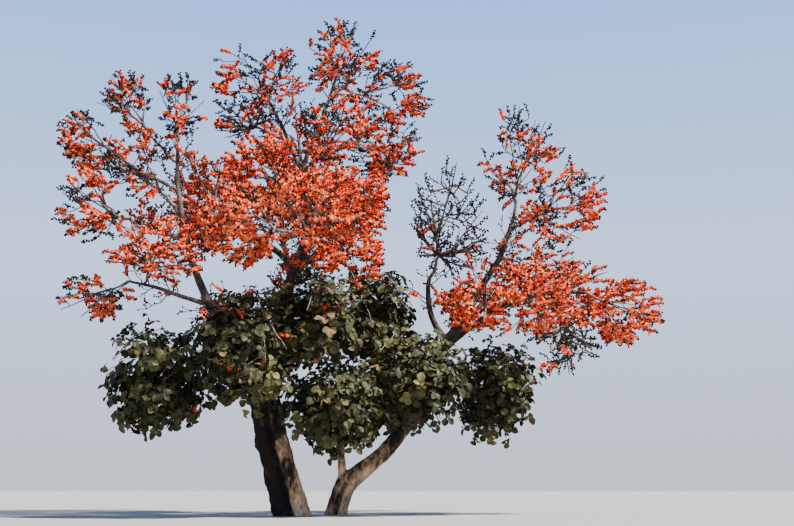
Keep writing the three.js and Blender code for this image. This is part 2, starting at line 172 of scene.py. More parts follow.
LIMBS = {
    "left_trunk": LimbRow(
        GROUND, (0.03, 0.02, 0.0), (-0.53, 0.06, 2.24), (-0.045, -0.02, 0.02), (0.245, 0.236)
    ),
    "right_trunk": LimbRow(
        GROUND, (0.69, 0.95, 0.0), (0.95, 0.93, 0.69), (-0.02, -0.01, 0.01), (0.146, 0.156)
    ),
    "left_stem": LimbRow("left_trunk", 0.86, (-1.46, -0.35, 3.54), (0.1, -0.05, 0.13), (0.155, 0.096)),
    "middle_stem": LimbRow("left_trunk", 0.9, (0.05, 0.25, 4.35), (-0.12, 0.11, -0.06), (0.128, 0.098)),
    "left_high_bough": LimbRow(
        "left_stem", 0.96, (-2.01, -0.5, 6.21), (-0.15, -0.08, -0.01), (0.072, 0.032)
    ),
    "left_low_bough": LimbRow("left_stem", 0.93, (-2.71, -0.7, 3.83), (-0.12, 0.07, 0.09), (0.048, 0.024)),
    "leader": LimbRow("middle_stem", 0.98, (0.05, 0.3, 6.08), (0.15, -0.03, 0.02), (0.092, 0.06)),
    "arching_bough": LimbRow("middle_stem", 0.95, (-1.46, 0.2, 5.06), (0.04, -0.03, 0.11), (0.064, 0.036)),
    "shoulder_bough": LimbRow("middle_stem", 0.97, (1.68, 0.5, 6.2), (0.11, 0.07, -0.16), (0.066, 0.034)),
    "front_bough": LimbRow("middle_stem", 0.8, (0.6, -2.0, 4.53), (-0.01, -0.04, 0.1), (0.064, 0.034)),
    "back_bough": LimbRow("middle_stem", 0.86, (-0.5, 2.4, 5.84), (-0.06, 0.17, 0.05), (0.066, 0.034)),
    "top_left_bough": LimbRow("leader", 0.95, (-0.56, 0.5, 7.4), (-0.04, 0.01, 0.1), (0.044, 0.026)),
    "top_right_bough": LimbRow("leader", 0.97, (0.71, 0.1, 7.83), (0.02, -0.05, 0.01), (0.048, 0.028)),
    "small_stem": LimbRow("right_trunk", 0.62, (0.97, 0.65, 2.1), (-0.08, 0.0, 0.04), (0.084, 0.048)),
    "main_stem": LimbRow("right_trunk", 0.8, (2.66, 1.0, 3.11), (0.19, -0.03, -0.2), (0.155, 0.095)),
    "bare_bough": LimbRow("main_stem", 0.98, (2.36, 0.65, 4.16), (-0.15, -0.04, 0.04), (0.064, 0.042)),
    "curved_bough": LimbRow("main_stem", 0.97, (3.85, 0.7, 5.15), (0.18, -0.04, 0.07), (0.076, 0.044)),
    "far_right_bough": LimbRow("main_stem", 0.93, (5.12, 0.6, 3.86), (-0.03, 0.01, 0.33), (0.07, 0.032)),
    "right_back_bough": LimbRow("main_stem", 0.9, (3.93, 2.9, 4.33), (-0.05, 0.06, 0.13), (0.06, 0.035)),
}

MASSES = {
    Kind.BLOOM: {
        "top_peak": MassRow("top_right_bough", 1.0, (0.78, 0.0, 8.1), (0.7, 0.75, 0.66), 0.45),
        "top_left": MassRow("top_left_bough", 1.0, (-0.72, 0.5, 7.87), (0.92, 0.85, 0.64), 0.5),
        "top_right": MassRow("top_right_bough", 0.75, (1.65, -0.1, 7.32), (0.73, 0.8, 0.61), 0.45),
        "upper_front": MassRow("leader", 0.9, (0.84, -0.9, 6.33), (0.74, 0.85, 0.68), 0.6),
        "upper_right": MassRow("shoulder_bough", 1.0, (1.57, 0.7, 6.62), (0.72, 0.9, 0.71), 0.5),
        "upper_back": MassRow("leader", 0.8, (-0.14, 1.7, 7.02), (0.9, 0.8, 0.74), 0.5),
        "spire_left": MassRow("left_high_bough", 0.9, (-2.89, -0.5, 6.91), (0.55, 0.75, 0.62), 0.45),
        "spire_right": MassRow("left_high_bough", 1.0, (-2.04, -0.4, 6.97), (0.45, 0.7, 0.6), 0.3),
        "tip_left_high": MassRow("left_high_bough", 0.72, (-3.54, -0.3, 6.43), (0.58, 0.8, 0.55), 0.5),
        "tip_left": MassRow("left_high_bough", 0.4, (-3.38, -0.8, 5.09), (0.59, 0.8, 0.61), 0.5),
        "inner_left_high": MassRow("left_high_bough", 0.55, (-2.57, -0.6, 5.78), (0.63, 0.9, 0.66), 0.35),
        "tip_left_low": MassRow("left_low_bough", 1.0, (-3.25, -0.7, 3.53), (0.65, 0.6, 0.38), 0.6),
        "inner_left": MassRow("left_low_bough", 0.75, (-2.15, -1.2, 4.32), (0.81, 0.9, 0.7), 0.75),
        "band_left": MassRow("arching_bough", 1.0, (-1.64, 0.3, 5.6), (0.84, 1.0, 0.74), 0.75),
        "band_left_front": MassRow("front_bough", 0.75, (-0.6, -2.0, 4.46), (0.75, 0.95, 0.66), 0.95),
        "band_left_back": MassRow("back_bough", 0.85, (-1.82, 2.4, 5.74), (0.91, 1.0, 0.75), 0.8),
        "band_front": MassRow("front_bough", 1.0, (0.54, -2.5, 4.62), (0.73, 0.9, 0.63), 1.0),
        "band_middle": MassRow("leader", 0.5, (-0.45, -0.6, 5.8), (0.79, 0.9, 0.58), 0.95),
        "band_back": MassRow("back_bough", 1.0, (-0.09, 2.9, 6.18), (0.98, 0.9, 0.78), 0.9),
        "band_right": MassRow("shoulder_bough", 0.75, (0.97, -0.6, 5.3), (0.68, 0.9, 0.69), 1.0),
        "band_right_back": MassRow("shoulder_bough", 0.55, (0.88, 2.0, 5.66), (0.77, 0.9, 0.74), 0.9),
        "droop_right": MassRow("shoulder_bough", 0.3, (0.97, -1.0, 4.16), (0.61, 0.8, 0.57), 0.95),
        "right_peak": MassRow("curved_bough", 1.0, (4.04, 0.6, 6.32), (0.79, 0.9, 1.06), 0.4),
        "right_shoulder": MassRow("curved_bough", 0.92, (4.71, 0.5, 5.54), (0.85, 0.9, 0.77), 0.55),
        "fan_front": MassRow("far_right_bough", 0.55, (3.96, -0.6, 3.5), (0.77, 0.9, 0.61), 0.95),
        "fan_inner": MassRow("far_right_bough", 0.35, (3.19, -0.2, 3.53), (0.71, 0.8, 0.51), 0.9),
        "fan_back": MassRow("right_back_bough", 1.0, (4.52, 2.6, 4.73), (0.99, 0.9, 0.7), 0.65),
        "fan_middle": MassRow("far_right_bough", 0.8, (5.05, 0.9, 3.89), (0.74, 0.9, 0.59), 0.95),
        "fan_tip": MassRow("far_right_bough", 1.0, (5.75, 0.5, 3.5), (0.72, 0.85, 0.58), 0.9),
    },
    Kind.BARE: {
        "upper_left": MassRow("top_left_bough", 0.35, (-1.15, 0.1, 6.94), (0.76, 0.5, 0.32), 0.15),
        "bare_crown": MassRow("bare_bough", 1.0, (2.72, 0.7, 5.22), (0.71, 0.8, 1.19), 0.04),
        "fan_under": MassRow("far_right_bough", 0.9, (4.66, 0.3, 2.89), (0.64, 0.6, 0.54), 0.05),
    },
    Kind.LEAF: {
        "leaves_left": MassRow("left_stem", 0.6, (-1.98, -1.3, 2.19), (0.76, 1.05, 0.9), 0.06),
        "leaves_front": MassRow("left_stem", 0.45, (-0.62, -1.7, 2.55), (0.88, 0.9, 0.86), 0.1),
        "leaves_middle": MassRow("middle_stem", 0.55, (0.41, -1.2, 3.13), (0.77, 1.0, 0.74), 0.08),
        "leaves_back": MassRow("middle_stem", 0.42, (-0.77, 1.9, 3.3), (1.15, 1.0, 0.87)),
        "leaves_right_high": MassRow("middle_stem", 0.68, (1.32, 0.2, 3.45), (0.76, 1.0, 0.8)),
        "leaves_low": MassRow("small_stem", 1.0, (0.73, -0.9, 1.81), (0.81, 0.9, 0.77)),
        "leaves_right_low": MassRow("main_stem", 0.48, (2.16, -0.4, 2.28), (0.83, 0.95, 0.86)),
        "leaves_right_back": MassRow("main_stem", 0.6, (1.56, 2.6, 2.47), (1.0, 0.9, 0.93)),
        "leaves_hanging": MassRow("main_stem", 0.72, (3.49, 0.6, 2.22), (0.66, 0.9, 0.93)),
    },
}

TRUNK_LIMBS = ["left_trunk", "right_trunk", "left_stem", "middle_stem", "main_stem", "small_stem"]


@dataclass(frozen=True)
class Habit:
    """How the sprays of one kind of mass grow at one level.

    Size is a spray's length, width and thickness. Hang, turn and roll say how its line hangs and turns
    away from its twig's and how far it is rolled. Of the places tried, at most so many get a spray,
    and a spacing apart, end and side sprays each their own, in spray lengths. Side sprays leave a twig
    at shares of its length, and look forward so much. Where a slow noise is under gaps, nothing is
    tried. Level is how much of the rise of a spray's line is left. A mass with no bloom has as many
    fewer as thinned says. Ragged says how far the places kept first stand in lobes, and not all round.
    """

    size: Point
    hang: float
    turn: float
    roll: float
    tried: int = 400
    most: int = 7
    end_spacing: float = 0.68
    side_spacing: float = 0.59
    side_at: tuple[float, ...] = (0.35, 0.6, 0.85)
    side_ahead: float = 0.5
    gaps: float = -1.0
    level: float = 1.0
    thinned: float = 0.0
    ragged: float = 0.0


COARSE = {
    Kind.BLOOM: Habit((0.66, 0.5, 0.39), hang=0.1, turn=0.35, roll=ANY_WAY),
    Kind.BARE: Habit((0.43, 0.15, 0.13), hang=-0.2, turn=0.3, roll=ANY_WAY, most=6),
    Kind.LEAF: Habit((0.6, 0.62, 0.064), hang=1.3, turn=0.5, roll=0.3),
}
FINE = {
    Kind.BLOOM: Habit(
        (0.3, 0.17, 0.17),
        hang=-0.12,
        turn=1.2,
        roll=ANY_WAY,
        tried=1100,
        most=66,
        end_spacing=0.5,
        side_spacing=0.48,
        gaps=-0.24,
        level=0.4,
        thinned=0.4,
        ragged=0.45,
    ),
    Kind.BARE: Habit(
        (0.32, 0.14, 0.14),
        hang=-0.2,
        turn=1.0,
        roll=ANY_WAY,
        tried=900,
        most=56,
        end_spacing=0.42,
        side_spacing=0.42,
        level=0.7,
        ragged=0.2,
    ),
    Kind.LEAF: Habit(
        (0.34, 0.26, 0.26),
        hang=0.3,
        turn=1.2,
        roll=ANY_WAY,
        tried=1000,
        most=60,
        end_spacing=0.5,
        side_spacing=0.5,
        gaps=-0.14,
        ragged=0.7,
    ),
}


@dataclass(frozen=True)
class TwigHabit:
    """How thick twigs are against what they grow from, and where later ones may leave them.

    The first place to grow from is sunk in the stem. A twig is thinned against its knot, but has a
    least radius, and tapers to a share of its own. Its knot for later ones stands a share of the way
    along it, with the thickness of its waist. The way back to the stem counts as much as detour says
    against the straight one. The way is tested at shares of it, and the twig is bent in steps.
    """

    sunk: float = 0.024
    thinned: float = 0.45
    taper: float = 0.7
    least: float = 0.006
    knot: float = 0.4
    waist: float = 0.88
    detour: float = 0.5
    tested: tuple[float, ...] = (0.3, 0.5, 0.7, 0.85, 1.0)
    steps: int = 7
    bend: float = 0.015


COARSE_TWIG = TwigHabit()
FINE_TWIG = TwigHabit(thinned=0.62, taper=0.75, least=0.0095, steps=4, bend=0.04)


class Chance:
    """A seeded row of numbers from 0 to 1, the same row as the solids were grown by."""

    TIMES, PLUS, RANGE = 1664525, 1013904223, 2**32

    def __init__(self, seed: int) -> None:
        """Starts the row at a seed."""
        self.state = seed

    def draw(self) -> float:
        """Returns the next number."""
        self.state = (self.state * self.TIMES + self.PLUS) % self.RANGE
        return self.state / self.RANGE

    def direction(self) -> Array:
        """Draws a direction, any as likely as another.

        Returns:
            The direction.
        """
        height = 2 * self.draw() - 1
        angle = 2 * math.pi * self.draw()
        ring = math.sqrt(1 - height * height)
        return np.array([ring * math.cos(angle), ring * math.sin(angle), height])


def unit(vectors: Array) -> Array:
    """Returns vectors, one or many, at length 1."""
    return vectors / np.maximum(np.linalg.norm(vectors, axis=-1, keepdims=True), 1e-9)


def smooth(amount: float | Array) -> float | Array:
    """Returns an amount kept between 0 and 1, with a gentle start and end."""
    kept = np.minimum(1.0, np.maximum(0.0, amount))
    return kept * kept * (3 - 2 * kept)


def turned(vector: Array, axis: Array, angle: float) -> Array:
    """Returns a vector turned by an angle about an axis of length 1."""
    cosine, sine = math.cos(angle), math.sin(angle)
    return vector * cosine + np.cross(axis, vector) * sine + axis * (axis @ vector) * (1 - cosine)


@dataclass
class Limb:
    """One tapering limb, bowed from its start to its tip."""

    name: str
    rooted: bool
    start: Array
    tip: Array
    bow: Array
    radius: Pair

    @property
    def length(self) -> float:
        """The straight way from its start to its tip."""
        return float(np.linalg.norm(self.tip - self.start))

    def point(self, t: float | Array) -> Array:
        """Returns the place a share t of the way along."""
        share = np.asarray(t, float)[..., None]
        return self.start + (self.tip - self.start) * share + self.bow * 4 * share * (1 - share)

    def thickness(self, t: float | Array) -> float | Array:
        """Returns the radius a share t of the way along."""
        return self.radius[0] + (self.radius[1] - self.radius[0]) * t


@dataclass
class Spray:
    """One spray: its root, direction, side and sizes, and the foot and radii of the twig under it.

    Twig and line are the places that its twig and its own middle line pass through.
    """

    root: Array
    along: Array
    across: Array
    size: Array
    foot: Array | None = None
    radius: Pair = (0.0, 0.0)
    twig: Array | None = None
    line: Array | None = None

    @property
    def centre(self) -> Array:
        """The middle of its line."""
        return self.root + self.along * 0.5 * self.size[0]

    def corners(self) -> Array:
        """Finds its outermost places.

        Returns:
            Its tip and the three corners where it is widest.
        """
        through = np.cross(self.across, self.along)
        middle = self.root + self.along * WIDEST * self.size[0]
        angles = 2 * math.pi * np.arange(3) / 3
        ring = (
            middle
            + np.outer(np.cos(angles), self.across) * self.size[1] / 2
            + np.outer(np.sin(angles), through) * self.size[2] / 2
        )
        return np.vstack([self.root + self.along * self.size[0], ring])


@dataclass
class Knot:
    """A place that twigs may grow from, its way back to the stem, and its thickness."""

    point: Array
    way: float
    thick: float


@dataclass
class Mass:
    """One mass of the crown, with its stem, its sprays and its finer sprays."""

    name: str
    number: int
    kind: Kind
    bloom: float
    centre: Array
    reach: Array
    foot: Array
    tip: Array
    radius: Pair
    coarse: list[Spray] = field(default_factory=list)
    fine: list[Spray] = field(default_factory=list)

    @property
    def weight(self) -> float:
        """How far the border with a neighbour is pushed off, squared."""
        return float(np.cbrt(self.reach.prod()) ** 2)


class Crown:
    """All limbs and masses, the space that each mass keeps to, and the rule that its twigs grow by."""

    def __init__(self) -> None:
        """Reads the limbs and masses from their rows."""
        self.limbs = self._read_limbs()
        self.masses = self._read_masses()
        self.centres = np.array([mass.centre for mass in self.masses])
        self.weights = np.array([mass.weight for mass in self.masses])
        self.feet = np.array([mass.foot for mass in self.masses])
        self.runs = np.array([mass.tip - mass.foot for mass in self.masses])
        self.stem_radii = np.array([mass.radius[0] for mass in self.masses])
        shares = np.linspace(0, 1, LIMB_PLACES + 1)
        self.limb_places = np.vstack([limb.point(shares) for limb in self.limbs.values()])
        self.limb_radii = np.hstack([limb.thickness(shares) for limb in self.limbs.values()])

    def _read_limbs(self) -> dict[str, Limb]:
        """Makes the limbs from their rows.

        Returns:
            The limbs by name, each started where its row says.
        """
        limbs: dict[str, Limb] = {}
        for name, row in LIMBS.items():
            rooted = row.parent == GROUND
            start = np.array(row.start) if rooted else limbs[row.parent].point(row.start)
            limbs[name] = Limb(name, rooted, start, np.array(row.tip), np.array(row.bow), row.radius)
        return limbs

    def _read_masses(self) -> list[Mass]:
        """Makes the masses from their rows.

        Returns:
            The masses in order, each with its stem.
        """
        masses = []
        rows = [(kind, name, row) for kind, group in MASSES.items() for name, row in group.items()]
        for number, (kind, name, row) in enumerate(rows):
            limb = self.limbs[row.limb]
            foot = limb.point(row.at)
            centre, reach = np.array(row.centre), np.array(row.reach)
            away = float(np.linalg.norm((foot - centre) / reach))
            tip = centre + (foot - centre) * min(STEM_BACK, STEM_INSIDE / away)
            thick = min(STEM_MOST, STEM_SHARE * limb.thickness(row.at))
            radius = (thick, min(thick, STEM_END))
            masses.append(Mass(name, number, kind, row.bloom, centre, reach, foot, tip, radius))
        return masses

    def open(self, mass: Mass, points: Array) -> Array:
        """Tells which points a mass's twigs may reach.

        Args:
            mass: The mass that grows.
            points: Places, one a row.

        Returns:
            True for each point inside the mass's reach, on its side of the border with every other
            mass, and clear of the limbs and of the other masses' stems.
        """
        inside = np.linalg.norm((points - mass.centre) / mass.reach, axis=1) <= SWELL
        lead = ((points[:, None] - self.centres) ** 2).sum(2) - self.weights
        lead -= lead[:, mass.number : mass.number + 1].copy()
        border = 2 * ROOM * np.linalg.norm(self.centres - mass.centre, axis=1)
        others = np.arange(len(self.masses)) != mass.number
        own_side = (lead > border)[:, others].all(axis=1)
        far = mass.reach.max() * SWELL + LIMB_NEAR
        near = np.linalg.norm(self.limb_places - mass.centre, axis=1) < far
        gaps = np.linalg.norm(points[:, None] - self.limb_places[near], axis=2) - self.limb_radii[near]
        off_limbs = (gaps > ROOM).all(axis=1)
        shares = ((points[:, None] - self.feet) * self.runs).sum(2) / (self.runs**2).sum(1)
        nearest = self.feet + np.clip(shares, 0, 1)[..., None] * self.runs
        off_stems = (np.linalg.norm(points[:, None] - nearest, axis=2) > self.stem_radii + ROOM)[:, others]
        return inside & own_side & off_limbs & off_stems.all(axis=1)

    def spray_from(self, mass: Mass, habit: Habit, root: Array, out: Array, chance: Chance) -> Spray:
        """Makes a spray at a place, looking along a direction but hanging, turned and rolled.

        Args:
            mass: The mass that grows.
            habit: How its sprays grow.
            root: Where the spray begins.
            out: The way that it looks before it hangs and turns.
            chance: The row of numbers to draw from.

        Returns:
            The spray, with no twig yet.
        """
        own = min(1.0, max(SMALLEST, math.sqrt(mass.weight) / USUAL_REACH))
        grown = own * (GROWN[0] + GROWN[1] * chance.draw())
        out = out * (1.0, 1.0, habit.level) - habit.hang * UP
        along = unit(turned(out, UP, habit.turn * (2 * chance.draw() - 1)))
        across = np.cross(UP, along)
        if np.linalg.norm(across) < UPRIGHT:
            across = np.cross([1.0, 0.0, 0.0], along)
        across = turned(unit(across), along, habit.roll * (2 * chance.draw() - 1))
        return Spray(root, along, across, grown * np.array(habit.size))

    def fits(self, mass: Mass, spray: Spray) -> bool:
        """Tells whether a spray's middle, tip and corners are all open."""
        return bool(self.open(mass, np.vstack([spray.centre, spray.corners()])).all())

    def end_sprays(self, mass: Mass, habit: Habit, chance: Chance) -> list[Spray]:
        """Finds the sprays that the twigs of a mass end in.

        Args:
            mass: The mass that grows.
            habit: How its sprays grow.
            chance: The row of numbers to draw from.

        Returns:
            The sprays, nearest to the stem first. Those whose tips reach furthest are kept first.
        """
        tried = []
        for _ in range(habit.tried):
            share = np.cbrt(chance.draw())
            place = chance.direction() * share * mass.reach + mass.centre
            tried.append(self.spray_from(mass, habit, place, unit(place - mass.tip), chance))
        tested = np.array([np.vstack([spray.centre, spray.corners()]) for spray in tried])
        fitting = self.open(mass, tested.reshape(-1, 3)).reshape(len(tried), -1).all(axis=1)
        fitting &= np.array([noise.noise(Vector(spray.centre) / GAP_SIZE) > habit.gaps for spray in tried])
        out = np.linalg.norm((tested[:, 1] - mass.centre) / mass.reach, axis=1)
        out += habit.ragged * np.array([noise.noise(Vector(spray.centre) / LOBE_SIZE) for spray in tried])
        ends: list[Spray] = []
        small = min(1.0, mass.weight / USUAL_REACH**2) if habit.ragged else 1.0
        most = round(habit.most * small * (1 - habit.thinned * (1 - mass.bloom)))
        for index in np.argsort(-out, kind="stable"):
            if not fitting[index] or len(ends) == most:
                continue
            if apart(tried[index], ends, habit.end_spacing):
                ends.append(tried[index])
        return sorted(ends, key=lambda spray: float(np.linalg.norm(spray.root - mass.tip)))

    def grow(
        self,
        mass: Mass,
        habit: Habit,
        twig: TwigHabit,
        knots: list[Knot],
        chance: Chance,
        bends: np.random.Generator,
    ) -> list[Spray]:
        """Grows a mass's twigs and sprays from its knots.

        Args:
            mass: The mass that grows.
            habit: How its sprays grow.
            twig: How its twigs thin.
            knots: The places that they may grow from, to which new ones are added.
            chance: The row of numbers to draw from.
            bends: The seeded numbers that bend twigs.

        Returns:
            The sprays, end sprays with the twig that carries them and side sprays without.
        """
        sprays: list[Spray] = []
        for end in self.end_sprays(mass, habit, chance):
            points = np.array([knot.point for knot in knots])
            ways = np.array([knot.way for knot in knots])
            knot = knots[int(np.argmin(np.linalg.norm(points - end.root, axis=1) + twig.detour * ways))]
            run = end.root - knot.point
            if not self.open(mass, knot.point + np.outer(twig.tested, run)).all():
                continue
            thick = max(twig.least, twig.thinned * knot.thick)
            end.foot, end.radius = knot.point, (thick, max(twig.least, twig.taper * thick))
            end.twig = crooked(knot.point[None], end.root[None], twig.steps, twig.bend, 0.0, bends)[0]
            sprays.append(end)
            way = knot.way + twig.knot * float(np.linalg.norm(run))
            knots.append(Knot(knot.point + twig.knot * run, way, twig.waist * thick))
            ahead = unit(run)
            for t in habit.side_at:
                sideways = unit(np.cross(ahead, chance.direction()))
                out = unit(sideways + ahead * habit.side_ahead)
                side = self.spray_from(mass, habit, knot.point + t * run, out, chance)
                if apart(side, sprays, habit.side_spacing) and self.fits(mass, side):
                    sprays.append(side)
        for spray in sprays:
            tip = spray.root + spray.along * LINE_SHARE * spray.size[0]
            spray.line = crooked(spray.root[None], tip[None], twig.steps, twig.bend, 0.0, bends)[0]
        return sprays

    def grow_all(self) -> None:
        """Grows every mass by the solids' rule, and then carries it on to finer twigs."""
        for mass in self.masses:
            chance = Chance(mass.number + 1)
            bends = np.random.default_rng(mass.number)
            heart = mass.tip + unit(mass.foot - mass.tip) * COARSE_TWIG.sunk
            knots = [Knot(heart, 0.0, mass.radius[1])]
            mass.coarse = self.grow(mass, COARSE[mass.kind], COARSE_TWIG, knots, chance, bends)
            for spray in mass.coarse:
                thick = spray.radius[1] or COARSE_TWIG.least
                for share in LINE_KNOTS:
                    place = spray.root + spray.along * share * spray.size[0]
                    way = LINE_WAY + share * spray.size[0]
                    knots.append(Knot(place, way, thick * (1 - LINE_THINNED * share)))
            mass.fine = self.grow(mass, FINE[mass.kind], FINE_TWIG, knots, chance, bends)
            log.info("%s: %d sprays, %d finer", mass.name, len(mass.coarse), len(mass.fine))


def apart(spray: Spray, others: list[Spray], share: float) -> bool:
    """Tells whether a spray stands apart from others.

    Args:
        spray: The spray.
        others: The others.
        share: How far apart their middles have to be, as a share of the spray's length.

    Returns:
        True where it is further than that from all of them.
    """
    if not others:
        return True
    centres = np.array([other.centre for other in others])
    return bool((np.linalg.norm(centres - spray.centre, axis=1) > share * spray.size[0]).all())


@dataclass(frozen=True)
class Shape:
    """A small shape that is copied many times: its vertices and its triangles."""

    vertices: Array
    faces: Array


def shape_from(mesh: bmesh.types.BMesh) -> Shape:
    """Turns a bmesh into a shape and frees it.

    Args:
        mesh: The bmesh.

    Returns:
        The shape, in triangles.
    """
    bmesh.ops.triangulate(mesh, faces=mesh.faces[:])
    mesh.verts.index_update()
    vertices = np.array([vert.co[:] for vert in mesh.verts])
    faces = np.array([[vert.index for vert in face.verts] for face in mesh.faces])
    mesh.free()
    return Shape(vertices, faces)


def placed(name: str, data: bpy.types.ID) -> bpy.types.Object:
    """Puts new data in the scene.

    Args:
        name: The object's name.
        data: Its mesh, light or camera.

    Returns:
        The object, at the origin.
    """
    made = bpy.data.objects.new(name, data)
    bpy.context.scene.collection.objects.link(made)
    return made


def object_from(name: str, mesh: bmesh.types.BMesh, material: bpy.types.Material) -> bpy.types.Object:
    """Turns a bmesh into an object and frees it.

    Args:
        name: The object's name.
        mesh: The bmesh.
        material: The object's material.

    Returns:
        The object, at the origin.
    """
    data = bpy.data.meshes.new(name)
    mesh.to_mesh(data)
    mesh.free()
    data.materials.append(material)
    return placed(name, data)


def long_edges(mesh: bmesh.types.BMesh) -> list[bmesh.types.BMEdge]:
    """Returns the edges that run along Z in a cone or cylinder of length 1."""
    return [edge for edge in mesh.edges if abs(edge.verts[0].co.z - edge.verts[1].co.z) > 0.5]


class Heap:
    """Many small shapes of one kind, collected as arrays and joined into one piece."""

    def __init__(self) -> None:
        """Starts empty."""
        self.vertices: list[Array] = []
        self.faces: list[Array] = []
        self.count = 0

    def add(self, vertices: Array, faces: Array) -> None:
        """Adds one mesh.

        Args:
            vertices: Its vertices.
            faces: Its triangles, by the numbers of their vertices.
        """
        self.vertices.append(vertices.reshape(-1, 3))
        self.faces.append(faces.reshape(-1, 3) + self.count)
        self.count += len(self.vertices[-1])

    def add_copies(self, shape: Shape, places: Array, axes: Array, scales: Array) -> None:
        """Adds copies of a shape.

        Args:
            shape: The shape to copy.
            places: Where each copy's origin goes.
            axes: Each copy's own X, Y and Z, one a row.
            scales: The size of each copy.
        """
        if len(places) == 0:
            return
        turned_shape = np.einsum("vk,nkc->nvc", shape.vertices, axes)
        vertices = places[:, None] + turned_shape * np.reshape(scales, (-1, 1, 1))
        steps = np.arange(len(places))[:, None, None] * len(shape.vertices)
        self.add(vertices, shape.faces[None] + steps)

    def piece(self, name: str, material: bpy.types.Material, rounded: bool) -> bpy.types.Object:
        """Joins all that was added into one object.

        Args:
            name: The piece's name.
            material: Its material.
            rounded: Whether its faces are shaded as one round surface.

        Returns:
            The object, at the origin.
        """
        vertices, faces = np.vstack(self.vertices), np.vstack(self.faces)
        data = bpy.data.meshes.new(name)
        data.vertices.add(len(vertices))
        data.vertices.foreach_set("co", vertices.astype(np.float32).ravel())
        data.loops.add(faces.size)
        data.loops.foreach_set("vertex_index", faces.astype(np.int32).ravel())
        data.polygons.add(len(faces))
        data.polygons.foreach_set("loop_start", np.arange(0, faces.size, 3, dtype=np.int32))
        data.polygons.foreach_set("use_smooth", np.full(len(faces), rounded))
        data.update(calc_edges=True)
        data.validate()
        data.materials.append(material)
        log.info("%s: %d triangles", name, len(faces))
        return placed(name, data)


def add_tubes(heap: Heap, paths: Array, radii: Array, sides: int) -> None:
    """Adds round twigs to a heap, closed at both ends.

    Args:
        heap: Where they go.
        paths: Each twig's places along its line, all with as many.
        radii: The radius at each place.
        sides: How many sides each has.
    """
    count, steps, _ = paths.shape
    ahead = unit(np.gradient(paths, axis=1))
    least = np.eye(3)[np.argmin(np.abs(paths[:, -1] - paths[:, 0]), axis=1)]
    side = unit(np.cross(ahead, least[:, None]))
    front = np.cross(ahead, side)
    angles = (2 * math.pi * np.arange(sides) / sides)[:, None]
    ring = side[:, :, None] * np.cos(angles) + front[:, :, None] * np.sin(angles)
    vertices = paths[:, :, None] + radii[:, :, None, None] * ring
    index = np.arange(count * steps * sides).reshape(count, steps, sides)
    low, high = index[:, :-1], index[:, 1:]
    next_low, next_high = np.roll(low, -1, axis=2), np.roll(high, -1, axis=2)
    wall = np.stack([low, next_low, next_high, low, next_high, high], axis=-1)
    fans = [[0, k + 1, k + 2] for k in range(sides - 2)]
    far_end = index[:, -1][:, fans]
    near_end = index[:, 0][:, fans][..., ::-1]
    faces = np.concatenate([part.reshape(-1, 3) for part in (wall, far_end, near_end)])
    heap.add(vertices, faces)


def crooked(
    starts: Array, ends: Array, steps: int, bend: float, lift: float, chance: np.random.Generator
) -> Array:
    """Bends lines between two places each.

    Args:
        starts: Where each begins.
        ends: Where each ends.
        steps: How many places each gets.
        bend: How far its places stand off the straight line, as a share of its length.
        lift: How far its middle is lifted, or with a minus hangs, as the same share.
        chance: The seeded numbers to draw from.

    Returns:
        The places, one line a row.
    """
    shares = np.linspace(0, 1, steps)[None, :, None]
    length = np.linalg.norm(ends - starts, axis=1)[:, None, None]
    swing = chance.normal(size=(len(starts), 1, 3)) * np.sin(math.pi * shares)
    kinks = chance.normal(size=(len(starts), steps, 3)) * KINK * (shares > 0) * (shares < 1)
    arch = lift * UP * 4 * shares * (1 - shares)
    return starts[:, None] + (ends - starts)[:, None] * shares + length * (bend * (swing + kinks) + arch)


def along_path(paths: Array, shares: Array) -> tuple[Array, Array]:
    """Finds places on bent lines.

    Args:
        paths: Lines, one a row.
        shares: How far along each line, several a row.

    Returns:
        The places, and the directions of the lines there.
    """
    steps = paths.shape[1] - 1
    scaled = np.clip(shares, 0, LINE_END) * steps
    low = scaled.astype(int)
    rows = np.arange(len(paths))[:, None]
    start, end = paths[rows, low], paths[rows, low + 1]
    return start + (end - start) * (scaled - low)[..., None], unit(end - start)


def around(directions: Array, angles: Array) -> Array:
    """Finds directions square to others.

    Args:
        directions: The others.
        angles: How far round each of them its square one is turned.

    Returns:
        The square directions.
    """
    least = np.eye(3)[np.argmin(np.abs(directions), axis=-1)]
    side = unit(np.cross(directions, least))
    return side * np.cos(angles)[..., None] + np.cross(directions, side) * np.sin(angles)[..., None]


def spiral(paths: Array, shares: Array, chance: np.random.Generator) -> tuple[Array, Array, Array]:
    """Finds places on bent lines, and at each a way off the line, as leaves follow on a twig.

    Args:
        paths: Lines, one a row.
        shares: How far along each line, several a row.
        chance: The seeded numbers that turn each line's first place.

    Returns:
        The places, the directions of the lines there, and the ways off them.
    """
    places, ahead = along_path(paths, shares)
    turns = np.arange(shares.shape[1]) * LEAF_TURN + chance.uniform(0, FULL_ROUND, (len(paths), 1))
    return places, ahead, around(ahead, turns)


def axes_for(ahead: Array, face: Array) -> Array:
    """Finds the axes of copies.

    Args:
        ahead: Where each copy's X points.
        face: Where its Z points, as near as X allows.

    Returns:
        Each copy's X, Y and Z, one a row.
    """
    x_axis = unit(ahead)
    y_axis = unit(np.cross(face, x_axis))
    return np.stack([x_axis, y_axis, np.cross(x_axis, y_axis)], axis=-2)


def fill_ramp(node: bpy.types.Node, stops: Stops) -> None:
    """Gives a colour ramp its stops.

    Args:
        node: The ramp.
        stops: The position and the colour of each.
    """
    elements = node.color_ramp.elements
    while len(elements) < len(stops):
        elements.new(0.5)
    for element, (position, color) in zip(elements, stops, strict=True):
        element.position = position
        element.color = (*color, 1.0)


